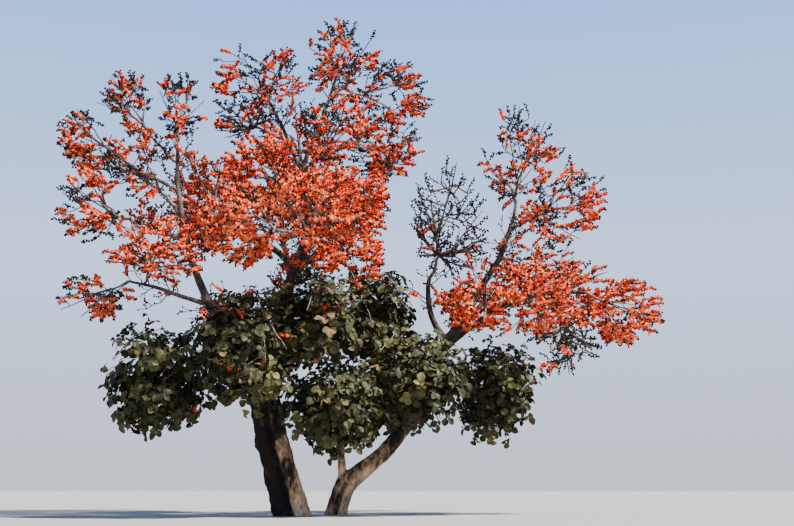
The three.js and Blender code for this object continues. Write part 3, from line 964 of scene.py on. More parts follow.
class NodeSheet:
    """A material's nodes, with short ways to add and link them."""

    def __init__(self, name: str) -> None:
        """Makes a new material with a plain shader.

        Args:
            name: Its name.
        """
        self.material = bpy.data.materials.new(name)
        self.material.use_nodes = True
        self.tree = self.material.node_tree
        self.shader = self.tree.nodes["Principled BSDF"]
        self.place = self.add("ShaderNodeTexCoord").outputs["Object"]

    def add(self, kind: str, **inputs: float | tuple | bpy.types.NodeSocket) -> bpy.types.Node:
        """Adds a node.

        Args:
            kind: Its type.
            inputs: Values or outputs for its inputs by name, with _ for a space.

        Returns:
            The node.
        """
        node = self.tree.nodes.new(kind)
        for name, value in inputs.items():
            self.give(node.inputs[name.replace("_", " ")], value)
        return node

    def give(self, socket: bpy.types.NodeSocket, value: float | tuple | bpy.types.NodeSocket) -> None:
        """Fills an input.

        Args:
            socket: The input.
            value: What it is set to, or the output that it is linked to.
        """
        if isinstance(value, bpy.types.NodeSocket):
            self.tree.links.new(value, socket)
        else:
            socket.default_value = value

    def noise(self, scale: float, detail: float, stretch: Point = (1, 1, 1)) -> bpy.types.NodeSocket:
        """Adds a noise on the piece's own coordinates.

        Args:
            scale: How fine it is.
            detail: How many finer noises are in it.
            stretch: How fine it is along each axis, times the scale.

        Returns:
            Its amount.
        """
        mapping = self.add("ShaderNodeMapping", Vector=self.place, Scale=stretch)
        made = self.add("ShaderNodeTexNoise", Vector=mapping.outputs[0], Scale=scale, Detail=detail)
        return made.outputs["Fac"]

    def color(self, amount: bpy.types.NodeSocket, stops: Stops) -> None:
        """Gives the shader the colours of an amount.

        Args:
            amount: The amount.
            stops: The position and the colour of each stop.
        """
        node = self.add("ShaderNodeValToRGB", Fac=amount)
        fill_ramp(node, stops)
        self.give(self.shader.inputs["Base Color"], node.outputs["Color"])

    def scaled(self, amount: bpy.types.NodeSocket, times: float, plus: float = 0.0) -> bpy.types.NodeSocket:
        """Scales and shifts an amount.

        Args:
            amount: The amount.
            times: What it is multiplied by.
            plus: What is added then.

        Returns:
            The new amount.
        """
        node = self.tree.nodes.new("ShaderNodeMath")
        node.operation = "MULTIPLY_ADD"
        self.give(node.inputs[0], amount)
        node.inputs[1].default_value = times
        node.inputs[2].default_value = plus
        return node.outputs[0]

    def sum(self, one: bpy.types.NodeSocket, other: bpy.types.NodeSocket) -> bpy.types.NodeSocket:
        """Adds up two amounts.

        Args:
            one: The one.
            other: The other.

        Returns:
            Their sum.
        """
        node = self.tree.nodes.new("ShaderNodeMath")
        self.give(node.inputs[0], one)
        self.give(node.inputs[1], other)
        return node.outputs[0]

    def polish(self, roughness: float, specular: float) -> None:
        """Sets how rough the shader is, and how strongly it mirrors."""
        self.shader.inputs["Roughness"].default_value = roughness
        self.shader.inputs["Specular IOR Level"].default_value = specular

    def bump(self, height: bpy.types.NodeSocket, distance: float) -> None:
        """Gives the shader's normal a relief of a height at most."""
        node = self.add("ShaderNodeBump", Height=height, Distance=distance, Strength=1.0)
        self.give(self.shader.inputs["Normal"], node.outputs["Normal"])


@dataclass(frozen=True)
class Grain:
    """A noise in bark: its scale, detail and stretch, and its share of the colour and a shift."""

    scale: float
    detail: float
    stretch: Point
    share: float
    shift: float = 0.0


@dataclass(frozen=True)
class BarkFinish:
    """Rough grey-brown bark with dark cracks and paler patches.

    Its four colours stand at the stops. The skin's attribute holds painted shade and painted light: where
    it is 1, the darkened amount is taken off before the colour is looked up, and where it is under 0 the
    colour is paler.
    """

    name: str
    colors: tuple[Color, Color, Color, Color]
    painted_shade_shift: float = 0.0
    roughness: float = 0.9
    specular: float = 0.25
    cracks: Grain = Grain(17.0, 9.0, (1.0, 1.0, 0.45), 0.5)
    patches: Grain = Grain(2.6, 5.0, (1.0, 1.0, 0.7), 0.75, -0.125)
    stops: tuple[float, float, float, float] = (0.36, 0.45, 0.58, 0.74)
    relief: float = 0.02

    def material(self) -> bpy.types.Material:
        """Builds the bark's nodes.

        Returns:
            The material.
        """
        sheet = NodeSheet(self.name)
        cracks = sheet.noise(self.cracks.scale, self.cracks.detail, self.cracks.stretch)
        patches = sheet.noise(self.patches.scale, self.patches.detail, self.patches.stretch)
        both = sheet.sum(
            sheet.scaled(cracks, self.cracks.share, self.cracks.shift),
            sheet.scaled(patches, self.patches.share, self.patches.shift),
        )
        # Painted shade and painted light: the skin's attribute shifts the bark's colour darker or paler.
        dark = sheet.add("ShaderNodeAttribute")
        dark.attribute_name = PAINTED_SHADE
        both = sheet.sum(both, sheet.scaled(dark.outputs["Fac"], -self.painted_shade_shift))
        sheet.color(both, tuple(zip(self.stops, self.colors, strict=True)))
        sheet.polish(self.roughness, self.specular)
        sheet.bump(cracks, self.relief)
        return sheet.material


@dataclass(frozen=True)
class SoftFinish:
    """A tint of petal, bud, twig or leaf, with a fine relief.

    A grain mottles it between a darker and a lighter colour, at two stops.
    """

    name: str
    color: Color
    mottle: float
    roughness: float
    specular: float
    grain: float
    relief: float = 0.002
    detail: float = 3.0
    stops: Pair = (0.35, 0.65)

    def material(self) -> bpy.types.Material:
        """Builds the finish's nodes.

        Returns:
            The material.
        """
        sheet = NodeSheet(self.name)
        grain = sheet.noise(self.grain, self.detail)
        dark = tuple(value * (1 - self.mottle) for value in self.color)
        light = tuple(min(1.0, value * (1 + self.mottle)) for value in self.color)
        sheet.color(grain, tuple(zip(self.stops, (dark, light), strict=True)))
        sheet.polish(self.roughness, self.specular)
        sheet.bump(grain, self.relief)
        return sheet.material


# The trunks' bark takes the painted shade and painted light from the skin's attribute; the boughs' bark
# does not.
TRUNK_BARK = BarkFinish(
    "trunk_bark",
    ((0.012, 0.009, 0.007), (0.05, 0.034, 0.024), (0.39, 0.245, 0.135), (0.82, 0.55, 0.33)),
    painted_shade_shift=0.22,
)
BOUGH_BARK = BarkFinish(
    "bough_bark", ((0.012, 0.010, 0.009), (0.04, 0.032, 0.027), (0.10, 0.08, 0.066), (0.24, 0.20, 0.17))
)
BLOSSOM_FINISHES = tuple(
    SoftFinish(name, color, mottle=0.18, roughness=0.55, specular=0.25, grain=30.0)
    for name, color in (
        ("blossom_deep", (0.72, 0.055, 0.013)),
        ("blossom_red", (0.97, 0.118, 0.03)),
        ("blossom_orange", (1.0, 0.165, 0.045)),
        ("blossom_bright", (1.0, 0.215, 0.078)),
    )
)
BUD_FINISH = SoftFinish("buds", (0.018, 0.012, 0.010), 0.4, 0.8, 0.15, 60.0)
MAIN_TWIG_FINISH = SoftFinish("main_twigs", (0.125, 0.1, 0.084), 0.6, 0.9, 0.15, 14.0, relief=0.004)
TWIG_FINISH = SoftFinish("twigs", (0.065, 0.05, 0.041), 0.5, 0.9, 0.15, 20.0)
LEAF_FINISHES = (
    SoftFinish("leaves_dark", (0.022, 0.022, 0.005), 0.3, 0.55, 0.2, 9.0),
    SoftFinish("leaves_green", (0.053, 0.051, 0.013), 0.3, 0.55, 0.22, 9.0),
    SoftFinish("leaves_olive", (0.105, 0.091, 0.026), 0.3, 0.55, 0.22, 9.0),
    SoftFinish("leaves_tan", (0.138, 0.083, 0.035), 0.3, 0.6, 0.2, 9.0),
)


@dataclass(frozen=True)
class FlowerShape:
    """One pea flower, one long, from its stalk at the origin to its beak along X.

    The beak is a horn that swells in its middle and curls up. The banner is a round petal that begins
    as narrow as banner_foot says, at the place banner_at on X and Z, and leans forward, then back. The
    wings are narrow petals beside the beak, turned outwards. Curl and turn are in radians.
    """

    beak: float = 0.15
    beak_swell: float = 2.2
    curl: float = 1.0
    banner_width: float = 0.8
    banner_foot: float = 0.25
    banner_round: Pair = (0.15, 0.65)
    banner_at: Pair = (0.12, 0.08)
    banner_rise: float = 0.72
    banner_forward: float = 0.25
    banner_back: float = 0.45
    banner_cupped: float = 0.08
    wing: Pair = (0.36, 0.2)
    wing_at: Pair = (0.42, 0.16)
    wing_out: float = 0.17
    wing_turn: float = 0.9

    def make(self) -> Shape:
        """Makes one flower: its beak, its banner and its two wings.

        Returns:
            The shape.
        """
        mesh = bmesh.new()
        self._add_beak(mesh)
        self._add_banner(mesh)
        for side in (-1, 1):
            self._add_wing(mesh, side)
        return shape_from(mesh)

    def _add_beak(self, mesh: bmesh.types.BMesh) -> None:
        """Adds the beak, with three sides.

        Args:
            mesh: Where it goes, still empty.
        """
        bmesh.ops.create_cone(mesh, cap_ends=True, segments=3, radius1=self.beak, radius2=0.0, depth=1.0)
        bmesh.ops.subdivide_edges(mesh, edges=long_edges(mesh), cuts=1)
        for vert in mesh.verts:
            t, across, up = vert.co.z + 0.5, vert.co.y, vert.co.x
            swell = 1.0 + self.beak_swell * t * (1 - t)
            turn = self.curl * t
            ahead, rise = math.sin(turn) / self.curl, (1 - math.cos(turn)) / self.curl
            vert.co = Vector((ahead, across * swell, rise + up * swell))

    def _add_banner(self, mesh: bmesh.types.BMesh) -> None:
        """Adds the banner.

        Args:
            mesh: Where it goes.
        """
        made = bmesh.ops.create_grid(mesh, x_segments=2, y_segments=2, size=0.5)["verts"]
        for vert in made:
            t, across = vert.co.x + 0.5, vert.co.y * 2
            bulge = math.sin(math.pi * (self.banner_round[0] + self.banner_round[1] * t))
            width = self.banner_width * (self.banner_foot + (1 - self.banner_foot) * bulge)
            ahead = self.banner_at[0] + self.banner_forward * t - self.banner_back * t * t
            ahead -= self.banner_cupped * across * across
            vert.co = Vector((ahead, across * width / 2, self.banner_at[1] + self.banner_rise * t))

    def _add_wing(self, mesh: bmesh.types.BMesh, side: int) -> None:
        """Adds one wing.

        Args:
            mesh: Where it goes.
            side: 1 or -1, for one side or the other.
        """
        place = Matrix.Translation((self.wing_at[0], side * self.wing_out, self.wing_at[1]))
        turn = Matrix.Rotation(side * self.wing_turn, 4, "X")
        size = Matrix.Diagonal((*self.wing, 1.0, 1.0))
        bmesh.ops.create_circle(mesh, cap_ends=True, segments=4, radius=1.0, matrix=place @ turn @ size)


@dataclass(frozen=True)
class BudShape:
    """A bud or calyx, one long, from the origin along X."""

    sides: int = 4
    radius: float = 0.42

    def make(self) -> Shape:
        """Makes one bud from a small sphere.

        Returns:
            The shape.
        """
        mesh = bmesh.new()
        bmesh.ops.create_uvsphere(mesh, u_segments=self.sides, v_segments=2, radius=1.0)
        for vert in mesh.verts:
            vert.co = Vector((0.5 + 0.5 * vert.co.z, vert.co.x * self.radius, vert.co.y * self.radius))
        return shape_from(mesh)


@dataclass(frozen=True)
class LeafletShape:
    """A round leaflet, one long along X, folded along its midrib and drooping to its tip.

    Widths are its own from stalk to tip. In its outer half the rims end short of the midrib.
    """

    widths: tuple[float, ...] = (0.2, 0.84, 0.94, 0.42)
    fold: float = 0.12
    droop: float = 0.22
    short: float = 0.06

    def make(self) -> Shape:
        """Makes one leaflet from a small grid.

        Returns:
            The shape.
        """
        mesh = bmesh.new()
        rows = len(self.widths) - 1
        made = bmesh.ops.create_grid(mesh, x_segments=rows, y_segments=2, size=0.5)["verts"]
        for vert in made:
            t, across = vert.co.x + 0.5, vert.co.y * 2
            width = self.widths[round(t * rows)]
            height = self.fold * abs(across) * width - self.droop * t * t
            along = t * (1.0 - self.short * abs(across)) if t > 0.5 else t
            vert.co = Vector((along, across * width / 2, height))
        return shape_from(mesh)


CALYX_SHAPE = BudShape(sides=3, radius=0.4)
BENT_LEAFLET = LeafletShape(fold=0.2, droop=0.35)


@dataclass(frozen=True)
class Knob:
    """A swelling on a limb: where along it and round it, how wide, and how far it stands out."""

    limb: str
    at: float
    angle: float
    width: float
    height: float


@dataclass
class BarkSkin:
    """The trunks, stems and boughs in one skin, with the relief of bark.

    A limb that stands on the ground is a trunk here. Radii, lumps, cracks and the length of a collar
    are counted in a limb's own radius.
    """

    crown: Crown

    # Tubes with sides, and rings a step apart, go a little below the ground. They are fused by voxels,
    # and then smoothed so many times, by so much. To find the limb nearest to a point of the skin, each
    # limb is tried at so many places, for so many points at once.
    trunk_sides: int = 40
    bough_sides: int = 14
    step: float = 0.08
    below: float = 0.06
    voxel: float = 0.0125
    smoothed: int = 3
    smoothing: float = 0.5
    places: int = 81
    batch: int = 20000

    # A trunk's two lobes, and its flare with toes. Its rings lie level up to a share of its length, and
    # from another share on its end is rounded.
    lobes: float = 0.11
    flare_height: float = 0.4
    flare_spread: float = 0.26
    toes: int = 5
    toe_depth: float = 0.09
    level: float = 0.5
    rounded_from: float = 0.85
    rounded: float = 0.6

    # Other limbs are thicker where they begin, and wander about their lines.
    collar: float = 0.3
    collar_length: float = 1.6
    wander: float = 0.8
    wander_fine: float = 2.2
    wander_shift: float = 9.0

    # The grooves down a trunk's front and back, which fade towards its end.
    groove_depth: float = 0.115
    groove_width: float = 0.3
    groove_end: Pair = (2.2, 2.0)

    # Cracks that run along a limb, with finer ones, and lumps, with finer ones.
    cracks: float = 0.065
    grain_across: float = 22.0
    grain_along: float = 5.5
    cracks_finer: float = 2.3
    lumps: float = 0.1
    lumps_fine: Pair = (4.5, 10.0)
    finer_share: float = 0.5
    limb_shift: float = 3.7

    # Painted shade darkens the bark with height, where the crown's shadow falls, and on the left of thick
    # limbs, away from the sun, as they near the darkest radius. Painted light pales it near the ground,
    # less where it is thick. Left begins where the cosine is under the first.
    painted_shade_from: float = 1.0
    painted_shade_over: float = 0.7
    left: Pair = (0.4, 0.45)
    darkest_radius: float = 0.24
    darkest_power: int = 3
    painted_light_below: float = 1.1
    painted_light_over: float = 0.7
    painted_light: float = 0.65
    thick_less: float = 0.55

    # Old wounds, each a swelling with a hollow in its middle, so deep and so much narrower.
    hollow: float = 0.8
    hollow_narrow: float = 9.0
    knobs: tuple[Knob, ...] = (
        Knob("left_trunk", 0.5, 1.15, 0.1, 0.045),
        Knob("left_trunk", 0.32, 0.75, 0.08, 0.035),
        Knob("left_trunk", 0.68, 1.9, 0.1, 0.04),
        Knob("left_trunk", 0.8, 0.9, 0.09, 0.035),
        Knob("left_trunk", 0.4, 4.2, 0.11, 0.045),
        Knob("left_trunk", 0.7, 5.2, 0.1, 0.04),
        Knob("left_trunk", 0.55, 3.0, 0.1, 0.04),
        Knob("right_trunk", 0.55, 1.2, 0.08, 0.03),
        Knob("right_trunk", 0.8, 2.2, 0.08, 0.035),
        Knob("main_stem", 0.14, 1.3, 0.08, 0.03),
        Knob("main_stem", 0.3, 4.0, 0.08, 0.03),
        Knob("left_stem", 0.35, 1.0, 0.08, 0.03),
        Knob("middle_stem", 0.3, 1.5, 0.08, 0.03),
    )

    def _frames(self, limb: Limb, shares: Array) -> tuple[Array, Array]:
        """Finds the directions across a limb.

        Args:
            limb: The limb.
            shares: Shares of its length.

        Returns:
            Its side and its front at each.
        """
        ahead = unit(limb.point(np.minimum(1, shares + NEAR)) - limb.point(np.maximum(0, shares - NEAR)))
        if limb.rooted:
            turn = smooth(shares / self.level)[..., None]
            ahead = unit(UP * (1 - turn) + ahead * turn)
        least = np.eye(3)[int(np.argmin(np.abs(limb.tip - limb.start)))]
        side = unit(np.cross(least, ahead))
        return side, np.cross(side, ahead)

    def _radius(self, limb: Limb, share: float, angle: float, height: float) -> float:
        """Finds how far a limb's skin stands from its line, before any relief.

        Args:
            limb: The limb.
            share: A share of its length.
            angle: An angle round it.
            height: The height of its line there.

        Returns:
            The distance.
        """
        radius = limb.thickness(share)
        if not limb.rooted:
            over = share * limb.length / (self.collar_length * limb.radius[0])
            return radius * (1 + self.collar * math.exp(-over))
        spread = math.exp(-max(0.0, height) / self.flare_height)
        lobes = 1 + self.lobes * math.cos(2 * angle)
        toes = 1 + spread * (self.flare_spread + self.toe_depth * math.cos(self.toes * angle))
        end = max(0.0, share - self.rounded_from) / (1 - self.rounded_from)
        return radius * lobes * toes * math.sqrt(1 - self.rounded * min(1.0, end) ** 2)

    def _line(self, limb: Limb, shares: Array, side: Array, front: Array) -> Array:
        """Finds where a limb's middle runs, which wanders where it isn't a trunk.

        Args:
            limb: The limb.
            shares: Shares of its length.
            side: Its side at each.
            front: Its front at each.

        Returns:
            The places.
        """
        places = limb.point(shares)
        if limb.rooted:
            return places
        away = limb.thickness(shares) * self.wander * np.sin(math.pi * np.clip(shares, 0, 1))
        at = [Vector(place) * self.wander_fine for place in places]
        for axis in (side, front):
            shift = Vector(axis[0]) * self.wander_shift
            swing = np.array([noise.noise(place + shift) for place in at])
            places = places + axis * (away * swing)[:, None]
        return places

    def _tube(self, limb: Limb) -> bpy.types.Mesh:
        """Builds one limb.

        Args:
            limb: The limb.

        Returns:
            A closed tube bent along its line.
        """
        sides = self.trunk_sides if limb.rooted else self.bough_sides
        mesh = bmesh.new()
        bmesh.ops.create_cone(
            mesh, cap_ends=True, cap_tris=True, segments=sides, radius1=1.0, radius2=1.0, depth=1.0
        )
        cuts = int(limb.length / self.step)
        bmesh.ops.subdivide_edges(mesh, edges=long_edges(mesh), cuts=cuts, use_grid_fill=True)
        verts = mesh.verts[:]
        shares = np.array([vert.co.z + 0.5 for vert in verts])
        if limb.rooted:
            below = -self.below / (limb.tip[2] - limb.start[2])
            shares = np.where(shares < HARDLY, below, shares)
        side, front = self._frames(limb, shares)
        places = self._line(limb, shares, side, front)
        for vert, share, place, across, ahead in zip(verts, shares, places, side, front, strict=True):
            rim = math.hypot(vert.co.x, vert.co.y)
            angle = math.atan2(vert.co.y, vert.co.x)
            radius = rim * self._radius(limb, float(share), angle, place[2])
            vert.co = Vector(place + radius * (across * math.cos(angle) + ahead * math.sin(angle)))
        bmesh.ops.recalc_face_normals(mesh, faces=mesh.faces[:])
        tube = bpy.data.meshes.new(limb.name)
        mesh.to_mesh(tube)
        mesh.free()
        return tube

    def _core(self, names: list[str]) -> bmesh.types.BMesh:
        """Fuses limbs into one skin.

        Args:
            names: The limbs.

        Returns:
            The skin, of even small faces.
        """
        mesh = bmesh.new()
        for name in names:
            tube = self._tube(self.crown.limbs[name])
            mesh.from_mesh(tube)
            bpy.data.meshes.remove(tube)
        data = bpy.data.meshes.new("core")
        mesh.to_mesh(data)
        mesh.free()
        core = placed("core", data)
        remesh = core.modifiers.new("even", "REMESH")
        remesh.mode = "VOXEL"
        remesh.voxel_size = self.voxel
        depsgraph = bpy.context.evaluated_depsgraph_get()
        even = bmesh.new()
        even.from_mesh(core.evaluated_get(depsgraph).to_mesh())
        bpy.data.objects.remove(core)
        for _ in range(self.smoothed):
            bmesh.ops.smooth_vert(
                even,
                verts=even.verts[:],
                factor=self.smoothing,
                use_axis_x=True,
                use_axis_y=True,
                use_axis_z=True,
            )
        return even

    def _nearest(self, points: Array, limbs: list[Limb]) -> tuple[Array, Array]:
        """Finds which limb each point of the skin is nearest to.

        Args:
            points: The points.
            limbs: The limbs under the skin.

        Returns:
            Each point's limb, as its number in the list, and its share of the way along it.
        """
        shares = np.linspace(0, 1, self.places)
        best = np.full(len(points), np.inf)
        which = np.zeros(len(points), int)
        share_of = np.zeros(len(points))
        for number, limb in enumerate(limbs):
            line, thickness = limb.point(shares), limb.thickness(shares)
            for low in range(0, len(points), self.batch):
                part = slice(low, low + self.batch)
                gaps = np.linalg.norm(points[part, None] - line, axis=2) - thickness
                nearest = gaps.argmin(axis=1)
                gap = gaps[np.arange(len(gaps)), nearest]
                closer = gap < best[part]
                best[part] = np.where(closer, gap, best[part])
                which[part] = np.where(closer, number, which[part])
                share_of[part] = np.where(closer, shares[nearest], share_of[part])
        return which, share_of

    def _angles(self, points: Array, limbs: list[Limb], which: Array, share_of: Array) -> Array:
        """Finds how far round its limb each point of the skin stands.

        Args:
            points: The points.
            limbs: The limbs under the skin.
            which: Each point's limb, as its number in the list.
            share_of: Its share of the way along it.

        Returns:
            The angles: 0 to the right, a quarter turn to the front.
        """
        angles = np.zeros(len(points))
        for number, limb in enumerate(limbs):
            own = which == number
            side, front = self._frames(limb, share_of[own])
            off = points[own] - limb.point(share_of[own])
            angles[own] = np.arctan2((off * front).sum(1), (off * side).sum(1))
        return angles

    def _height(self, limb: Limb, point: Array, share: float, angle: float, shift: float) -> float:
        """Finds how far the skin moves out at a point: lumps, cracks, the grooves and knobs.

        Args:
            limb: The limb under the point.
            point: The point.
            share: Its share of the way along the limb.
            angle: Its angle round the limb.
            shift: Where the limb's own pattern begins, so that no two limbs have the same.

        Returns:
            The distance, with a minus inwards.
        """
        radius, length = float(limb.thickness(share)), limb.length
        across, along = radius * self.grain_across, (share * length + shift) * self.grain_along
        grain = Vector((math.cos(angle) * across, math.sin(angle) * across, along))
        finer = self.finer_share * abs(noise.noise(grain * self.cracks_finer))
        crack = 1 - 2 * abs(noise.noise(grain)) - finer
        lump, small_lump = (noise.noise(Vector(point) * fine) for fine in self.lumps_fine)
        lumps = lump + self.finer_share * small_lump
        height = radius * (self.lumps * lumps - self.cracks * max(0.0, crack))
        if limb.rooted:
            pinch = math.exp(-(((abs(angle) - math.pi / 2) / self.groove_width) ** 2))
            height -= self.groove_depth * pinch * min(1.0, self.groove_end[0] - self.groove_end[1] * share)
        for knob in self.knobs:
            if knob.limb == limb.name:
                round_way = math.remainder(angle - knob.angle, 2 * math.pi) * radius
                off = math.hypot(round_way, (share - knob.at) * length) / knob.width
                hollow = self.hollow * math.exp(-self.hollow_narrow * off * off)
                height += knob.height * (math.exp(-off * off) - hollow)
        return height

    def _painted_shade(self, limb: Limb, height: float, share: float, angle: float) -> float:
        """Finds how much shade is painted on the bark at a point of the skin, or with a minus how much
        light.

        Args:
            limb: The limb under the point.
            height: The point's height.
            share: Its share of the way along the limb.
            angle: Its angle round the limb.

        Returns:
            Up to 1 on the left of a trunk and among the leaves, as painted shade, and under 0 near the
            ground, as painted light.
        """
        thick = min(1.0, float(limb.thickness(share)) / self.darkest_radius) ** self.darkest_power
        shaded = thick * smooth((self.left[0] - math.cos(angle)) / self.left[1])
        high = smooth((height - self.painted_shade_from) / self.painted_shade_over)
        low = smooth((self.painted_light_below - height) / self.painted_light_over)
        return float(max(high, shaded) - self.painted_light * low * (1 - shaded) * (1 - self.thick_less * thick))

    def _relief(self, mesh: bmesh.types.BMesh, names: list[str]) -> None:
        """Moves the skin in and out, and notes at each point how much shade or light is painted on it.

        Args:
            mesh: The skin.
            names: The limbs under it.
        """
        mesh.normal_update()
        dark = mesh.verts.layers.float.new(PAINTED_SHADE)
        points = np.array([vert.co[:] for vert in mesh.verts])
        limbs = [self.crown.limbs[name] for name in names]
        which, share_of = self._nearest(points, limbs)
        angles = self._angles(points, limbs, which, share_of)
        for vert, point, angle, number, share in zip(
            mesh.verts, points, angles, which, share_of, strict=True
        ):
            limb = limbs[number]
            # The attribute holds painted shade, and with a minus painted light, for the bark's colour.
            vert[dark] = self._painted_shade(limb, point[2], share, angle)
            vert.co += vert.normal * self._height(limb, point, share, angle, number * self.limb_shift)

    def piece(self, name: str, names: list[str], material: bpy.types.Material) -> bpy.types.Object:
        """Builds the skin of some limbs, cut flat at the ground.

        Args:
            name: The piece's name.
            names: The limbs that it covers.
            material: The bark.

        Returns:
            The object, at the origin.
        """
        mesh = self._core(names)
        self._relief(mesh, names)
        whole = mesh.verts[:] + mesh.edges[:] + mesh.faces[:]
        bmesh.ops.bisect_plane(mesh, geom=whole, plane_co=(0, 0, 0), plane_no=(0, 0, -1), clear_outer=True)
        rims = [edge for edge in mesh.edges if edge.is_boundary]
        bmesh.ops.edgeloop_fill(mesh, edges=rims)
        for face in mesh.faces:
            face.smooth = True
        made = object_from(name, mesh, material)
        log.info("%s: %d faces", name, len(made.data.polygons))
        return made


@dataclass
class SideTwigs:
    """Short twigs with two forks each, along the limbs between the masses.

    Some limbs are without them, and dense ones have twice as many. Shares and forks say where along a
    limb the twigs grow, and where along a twig its forks. Forward and upward turn each of them from
    square to what it grows from.
    """

    crown: Crown
    chance: np.random.Generator
    without: tuple[str, ...] = ("left_trunk", "right_trunk", "main_stem", "small_stem")
    dense: tuple[str, ...] = ("left_stem", "middle_stem", "front_bough")
    a_metre: float = 6.0
    shares: Pair = (0.3, 0.98)
    length: Pair = (0.25, 0.68)
    forks: Pair = (0.45, 0.7)
    fork_shift: float = 0.1
    fork_length: Pair = (0.14, 0.32)
    forward: float = 0.6
    upward: float = 0.3
    steps: int = 6
    bend: float = 0.06
    lift: float = -0.05

    def paths(self) -> tuple[Array, Array]:
        """Grows the side twigs and their forks.

        Returns:
            The twigs' lines, and those of their forks.
        """
        feet, ways = self._feet()
        twigs = self._from(feet, ways, self.length)
        shift = self.chance.uniform(-self.fork_shift, self.fork_shift, (len(twigs), len(self.forks)))
        places, ahead = along_path(twigs, np.array(self.forks) + shift)
        forks = self._from(places.reshape(-1, 3), ahead.reshape(-1, 3), self.fork_length)
        return twigs, forks

    def _feet(self) -> tuple[Array, Array]:
        """Picks the places where the side twigs start.

        Returns:
            Where the twigs leave their limbs, and the directions of the limbs there.
        """
        feet, ways = [], []
        for name, limb in self.crown.limbs.items():
            if name in self.without:
                continue
            a_metre = self.a_metre * (2 if name in self.dense else 1)
            shares = self.chance.uniform(*self.shares, round(a_metre * limb.length))
            feet.append(limb.point(shares))
            ways.append(limb.point(shares + NEAR) - limb.point(shares - NEAR))
        return np.concatenate(feet), unit(np.concatenate(ways))

    def _from(self, feet: Array, ways: Array, length: Pair) -> Array:
        """Lays crooked lines from feet.

        Args:
            feet: Where they begin.
            ways: The directions there of what they grow from.
            length: The least and the most length.

        Returns:
            The lines' places, one line a row.
        """
        out = around(ways, self.chance.uniform(0, 2 * math.pi, len(feet)))
        look = unit(out + self.forward * ways + self.upward * UP)
        tips = feet + look * self.chance.uniform(*length, (len(feet), 1))
        return crooked(feet, tips, self.steps, self.bend, self.lift, self.chance)


@dataclass
class TwigWork:
    """All stems and twigs of the masses, and the side twigs of the limbs.

    Stout says, for each kind of mass, how many times as thick as by the rule its main and its fine
    twigs are. Sides are those of a twig and of the line in a spray, which thins to an end radius.
    """

    crown: Crown
    chance: np.random.Generator
    side_twigs: Array
    side_forks: Array
    stout: tuple[tuple[Kind, float, float], ...] = (
        (Kind.BLOOM, 1.9, 1.0),
        (Kind.BARE, 2.8, 1.7),
        (Kind.LEAF, 1.5, 1.0),
    )
    stem_sunk: float = 0.02
    stem_steps: int = 8
    stem_sides: int = 8
    stem_bend: float = 0.035
    stem_end: float = 0.8
    main_sides: tuple[int, int] = (6, 5)
    main_end: float = 0.008
    fine_sides: tuple[int, int] = (3, 3)
    fine_end: float = 0.005
    side_sides: int = 4
    side_radius: Pair = (0.012, 0.006)
    fork_radius: Pair = (0.007, 0.004)

    def heaps(self) -> tuple[Heap, Heap]:
        """Builds all twigs.

        Returns:
            The stems, main twigs and side twigs, and the fine twigs.
        """
        main, fine = Heap(), Heap()
        self._add_stems(main)
        for kind, stout, stout_fine in self.stout:
            masses = [mass for mass in self.crown.masses if mass.kind is kind]
            coarse = [spray for mass in masses for spray in mass.coarse]
            self._add_twigs(main, coarse, self.main_sides, self.main_end, stout)
            finer = [spray for mass in masses for spray in mass.fine]
            self._add_twigs(fine, finer, self.fine_sides, self.fine_end, stout_fine)
        for paths, radius in ((self.side_twigs, self.side_radius), (self.side_forks, self.fork_radius)):
            radii = np.broadcast_to(np.linspace(*radius, paths.shape[1]), paths.shape[:2])
            add_tubes(main, paths, radii, self.side_sides)
        return main, fine

    def _add_stems(self, heap: Heap) -> None:
        """Adds the stem that each mass hangs by, sunk in its limb.

        Args:
            heap: Where they go.
        """
        masses = self.crown.masses
        feet = np.array([mass.foot + unit(mass.foot - mass.tip) * self.stem_sunk for mass in masses])
        tips = np.array([mass.tip for mass in masses])
        paths = crooked(feet, tips, self.stem_steps, self.stem_bend, 0.0, self.chance)
        thick = [mass.radius[0] for mass in masses]
        thin = [mass.radius[1] * self.stem_end for mass in masses]
        add_tubes(heap, paths, np.linspace(thick, thin, self.stem_steps).T, self.stem_sides)

    def _add_twigs(
        self, heap: Heap, sprays: list[Spray], sides: tuple[int, int], end: float, stout: float
    ) -> None:
        """Adds the twigs that end in sprays, and the sprays' own lines.

        Args:
            heap: Where they go.
            sprays: The sprays.
            sides: The sides of a twig, and of a line.
            end: The radius at a line's tip.
            stout: How many times as thick as by the rule they are.
        """
        carried = [spray for spray in sprays if spray.foot is not None]
        paths = np.array([spray.twig for spray in carried])
        ends = np.array([spray.radius for spray in carried])
        radii = np.linspace(ends[:, 0], ends[:, 1], paths.shape[1]).T
        add_tubes(heap, paths, radii * stout, sides[0])
        paths = np.array([spray.line for spray in sprays])
        thick = stout * np.array([spray.radius[1] or COARSE_TWIG.least for spray in sprays])
        radii = np.linspace(thick, np.full(len(sprays), end), paths.shape[1]).T
        add_tubes(heap, paths, radii, sides[1])


@dataclass(frozen=True)
class BudRow:
    """How many buds a twig has, and the share of its length that they begin at."""

    count: int
    start: float


